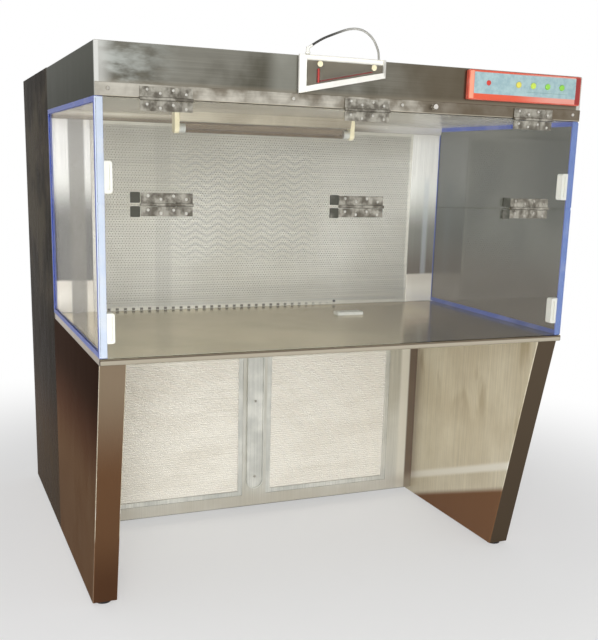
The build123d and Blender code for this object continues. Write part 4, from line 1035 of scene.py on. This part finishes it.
def make_gauge_details():
    """Red fluid in its well and sloping column, and plain scale ticks along it."""
    fluid = bmesh.new()
    rod(fluid, at(*COLUMN_START), at(*COLUMN_END), 1.8 * MM)
    rod(fluid, at(WELL_X, FLUID_Y, WELL_LOW), at(WELL_X, FLUID_Y, WELL_TOP), 4.2 * MM, 20)
    fluid_piece = piece("gauge_fluid_column", fluid, FLUID, smooth_angle=40)
    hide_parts("manometer_fluid")
    marks = bmesh.new()
    for index in range(TICK_COUNT):
        share = index / (TICK_COUNT - 1)
        x = FIRST_TICK[0] + (LAST_TICK[0] - FIRST_TICK[0]) * share
        z = FIRST_TICK[1] + (LAST_TICK[1] - FIRST_TICK[1]) * share
        tall = 7.0 if index % 4 == 0 else 4.0
        block(marks, at(x - 0.35, FLUID_Y - 0.2, z), at(x + 0.35, FLUID_Y + 0.3, z + tall))
    piece("gauge_scale_ticks", marks, BLACK)


make_manometer()
make_gauge_details()


# ---- trim fronts, lamp ends, plug

TAPE_INSET = 0.4 * MM
TAPE_END_GAP = 1 * MM
TAPE_SINK = 0.6 * MM
CAP_LENGTH = 20 * MM
CAP_RADIUS = 13.3 * MM
PLUG_X = 282 * MM
PLUG_RISE = 11 * MM
PLUG_LENGTH = 4 * MM
PLUG_RADIUS = 4.5 * MM


def make_trim_fronts():
    """Thin tape on the front flange of each window trim."""
    for side, finish in (("left", BLUE_PALE), ("right", BLUE_DEEP)):
        low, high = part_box("edge_trim_" + side)
        mesh = bmesh.new()
        block(mesh, low + Vector((TAPE_INSET, -TAPE_INSET, TAPE_END_GAP)),
              Vector((high.x - TAPE_INSET, low.y + TAPE_SINK, high.z - TAPE_END_GAP)), 0.15 * MM, 1)
        piece("trim_front_tape_" + side, mesh, finish)


def make_lamp_ends():
    """Metal cap on each end of the lamp tube."""
    low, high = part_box("lamp_tube")
    middle = (low + high) / 2
    mesh = bmesh.new()
    for x0, x1 in ((low.x, low.x + CAP_LENGTH), (high.x - CAP_LENGTH, high.x)):
        rod(mesh, Vector((x0, middle.y, middle.z)), Vector((x1, middle.y, middle.z)), CAP_RADIUS, 32)
    piece("lamp_end_caps", mesh, ALUMINIUM, smooth_angle=40)


def make_screen_plug():
    """Small rubber plug at the foot of the diffuser."""
    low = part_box("diffuser_screen")[0]
    seat = Vector((PLUG_X, low.y, low.z + PLUG_RISE))
    mesh = bmesh.new()
    rod(mesh, seat - Vector((0, PLUG_LENGTH, 0)), seat, PLUG_RADIUS, 24)
    piece("diffuser_plug", mesh, BLACK, smooth_angle=40)


make_trim_fronts()
make_lamp_ends()
make_screen_plug()


# ---- tube finish

pressure_tube.data.materials.append(VINYL)
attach(pressure_tube, "cabinet")
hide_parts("pressure_tube")


# ---- floor, world and lamps

FLOOR_GREY = 0.80
SHADOW_SHARE = 0.45          # how much plain white covers the floor at the bench
SHADOW_END, WHITE_START = 1.0, 2.6
WORLD_DIFFUSE = 0.50         # strength of the white surroundings as a light


def seen_rays(tree):
    """1 on rays that show the surroundings: camera, glossy and transmission."""
    rays = add(tree, "ShaderNodeLightPath").outputs
    seen = math_node(tree, "ADD", rays["Is Camera Ray"], rays["Is Glossy Ray"], clamp=True)
    return math_node(tree, "ADD", seen, rays["Is Transmission Ray"], clamp=True)


def make_floor():
    """Pale ground that keeps the shadow near the bench and turns plain white further out."""
    mesh = bmesh.new()
    bmesh.ops.create_grid(mesh, x_segments=1, y_segments=1, size=30)
    data = bpy.data.meshes.new("floor")
    mesh.to_mesh(data)
    mesh.free()
    material, tree, shader = new_material("pale_floor", roughness=0.95)
    shader.inputs["Base Color"].default_value = (FLOOR_GREY, FLOOR_GREY, FLOOR_GREY, 1)
    shader.inputs["Specular IOR Level"].default_value = 0.0
    seen = seen_rays(tree)
    reach = add(tree, "ShaderNodeVectorMath", {0: place_in_piece(tree)}, operation="LENGTH")
    share = ramp(tree, reach.outputs["Value"], SHADOW_END, WHITE_START, SHADOW_SHARE, 1.0)
    white = add(tree, "ShaderNodeEmission", {"Color": (1, 1, 1, 1), "Strength": 1.0})
    sources = {0: product(tree, seen, share), 1: shader.outputs[0], 2: white.outputs[0]}
    blend = add(tree, "ShaderNodeMixShader", sources)
    output = next(node for node in tree.nodes if node.type == "OUTPUT_MATERIAL")
    tree.links.new(blend.outputs[0], output.inputs[0])
    data.materials.append(material)
    floor = bpy.data.objects.new("floor", data)
    show(floor)


def make_world():
    world = bpy.data.worlds.new("studio")
    bpy.context.scene.world = world
    world.use_nodes = True
    tree = world.node_tree
    tree.nodes.clear()
    strength = math_node(tree, "MULTIPLY_ADD", seen_rays(tree), 1.0 - WORLD_DIFFUSE, WORLD_DIFFUSE)
    background = add(tree, "ShaderNodeBackground", {"Color": (1, 1, 1, 1), "Strength": strength})
    output = add(tree, "ShaderNodeOutputWorld")
    tree.links.new(background.outputs[0], output.inputs[0])


def make_area_lamp(name, place, target, size, power):
    """Soft lamp that lights the bench but is not mirrored in it. size is its width and height."""
    data = bpy.data.lights.new(name, "AREA")
    data.shape = "ELLIPSE"
    data.size, data.size_y = size
    data.energy = power
    lamp = bpy.data.objects.new(name, data)
    lamp.location = place
    lamp.rotation_euler = (Vector(target) - Vector(place)).to_track_quat("-Z", "Y").to_euler()
    lamp.visible_camera = False
    lamp.visible_glossy = False
    lamp.visible_transmission = False
    show(lamp)


make_floor()
make_world()
make_area_lamp("key_lamp", place=(-1.8, -4.6, 1.9), target=(0, 0, 0.8), size=(3.0, 3.0), power=60)
make_area_lamp("low_lamp", place=(-1.0, -3.0, 0.50), target=(0.3, 0.0, 0.45), size=(1.6, 0.8), power=46)
make_area_lamp("corner_lamp", place=(0.62, -0.10, 1.20), target=(0.62, 0.0, 1.22), size=(0.05, 0.34),
               power=0.09)
make_area_lamp("chamber_lamp", place=(0, -0.52, 0.80), target=(0, -0.12, 1.30), size=(1.34, 0.12),
               power=3.3)
bpy.context.scene.view_settings.view_transform = "Standard"
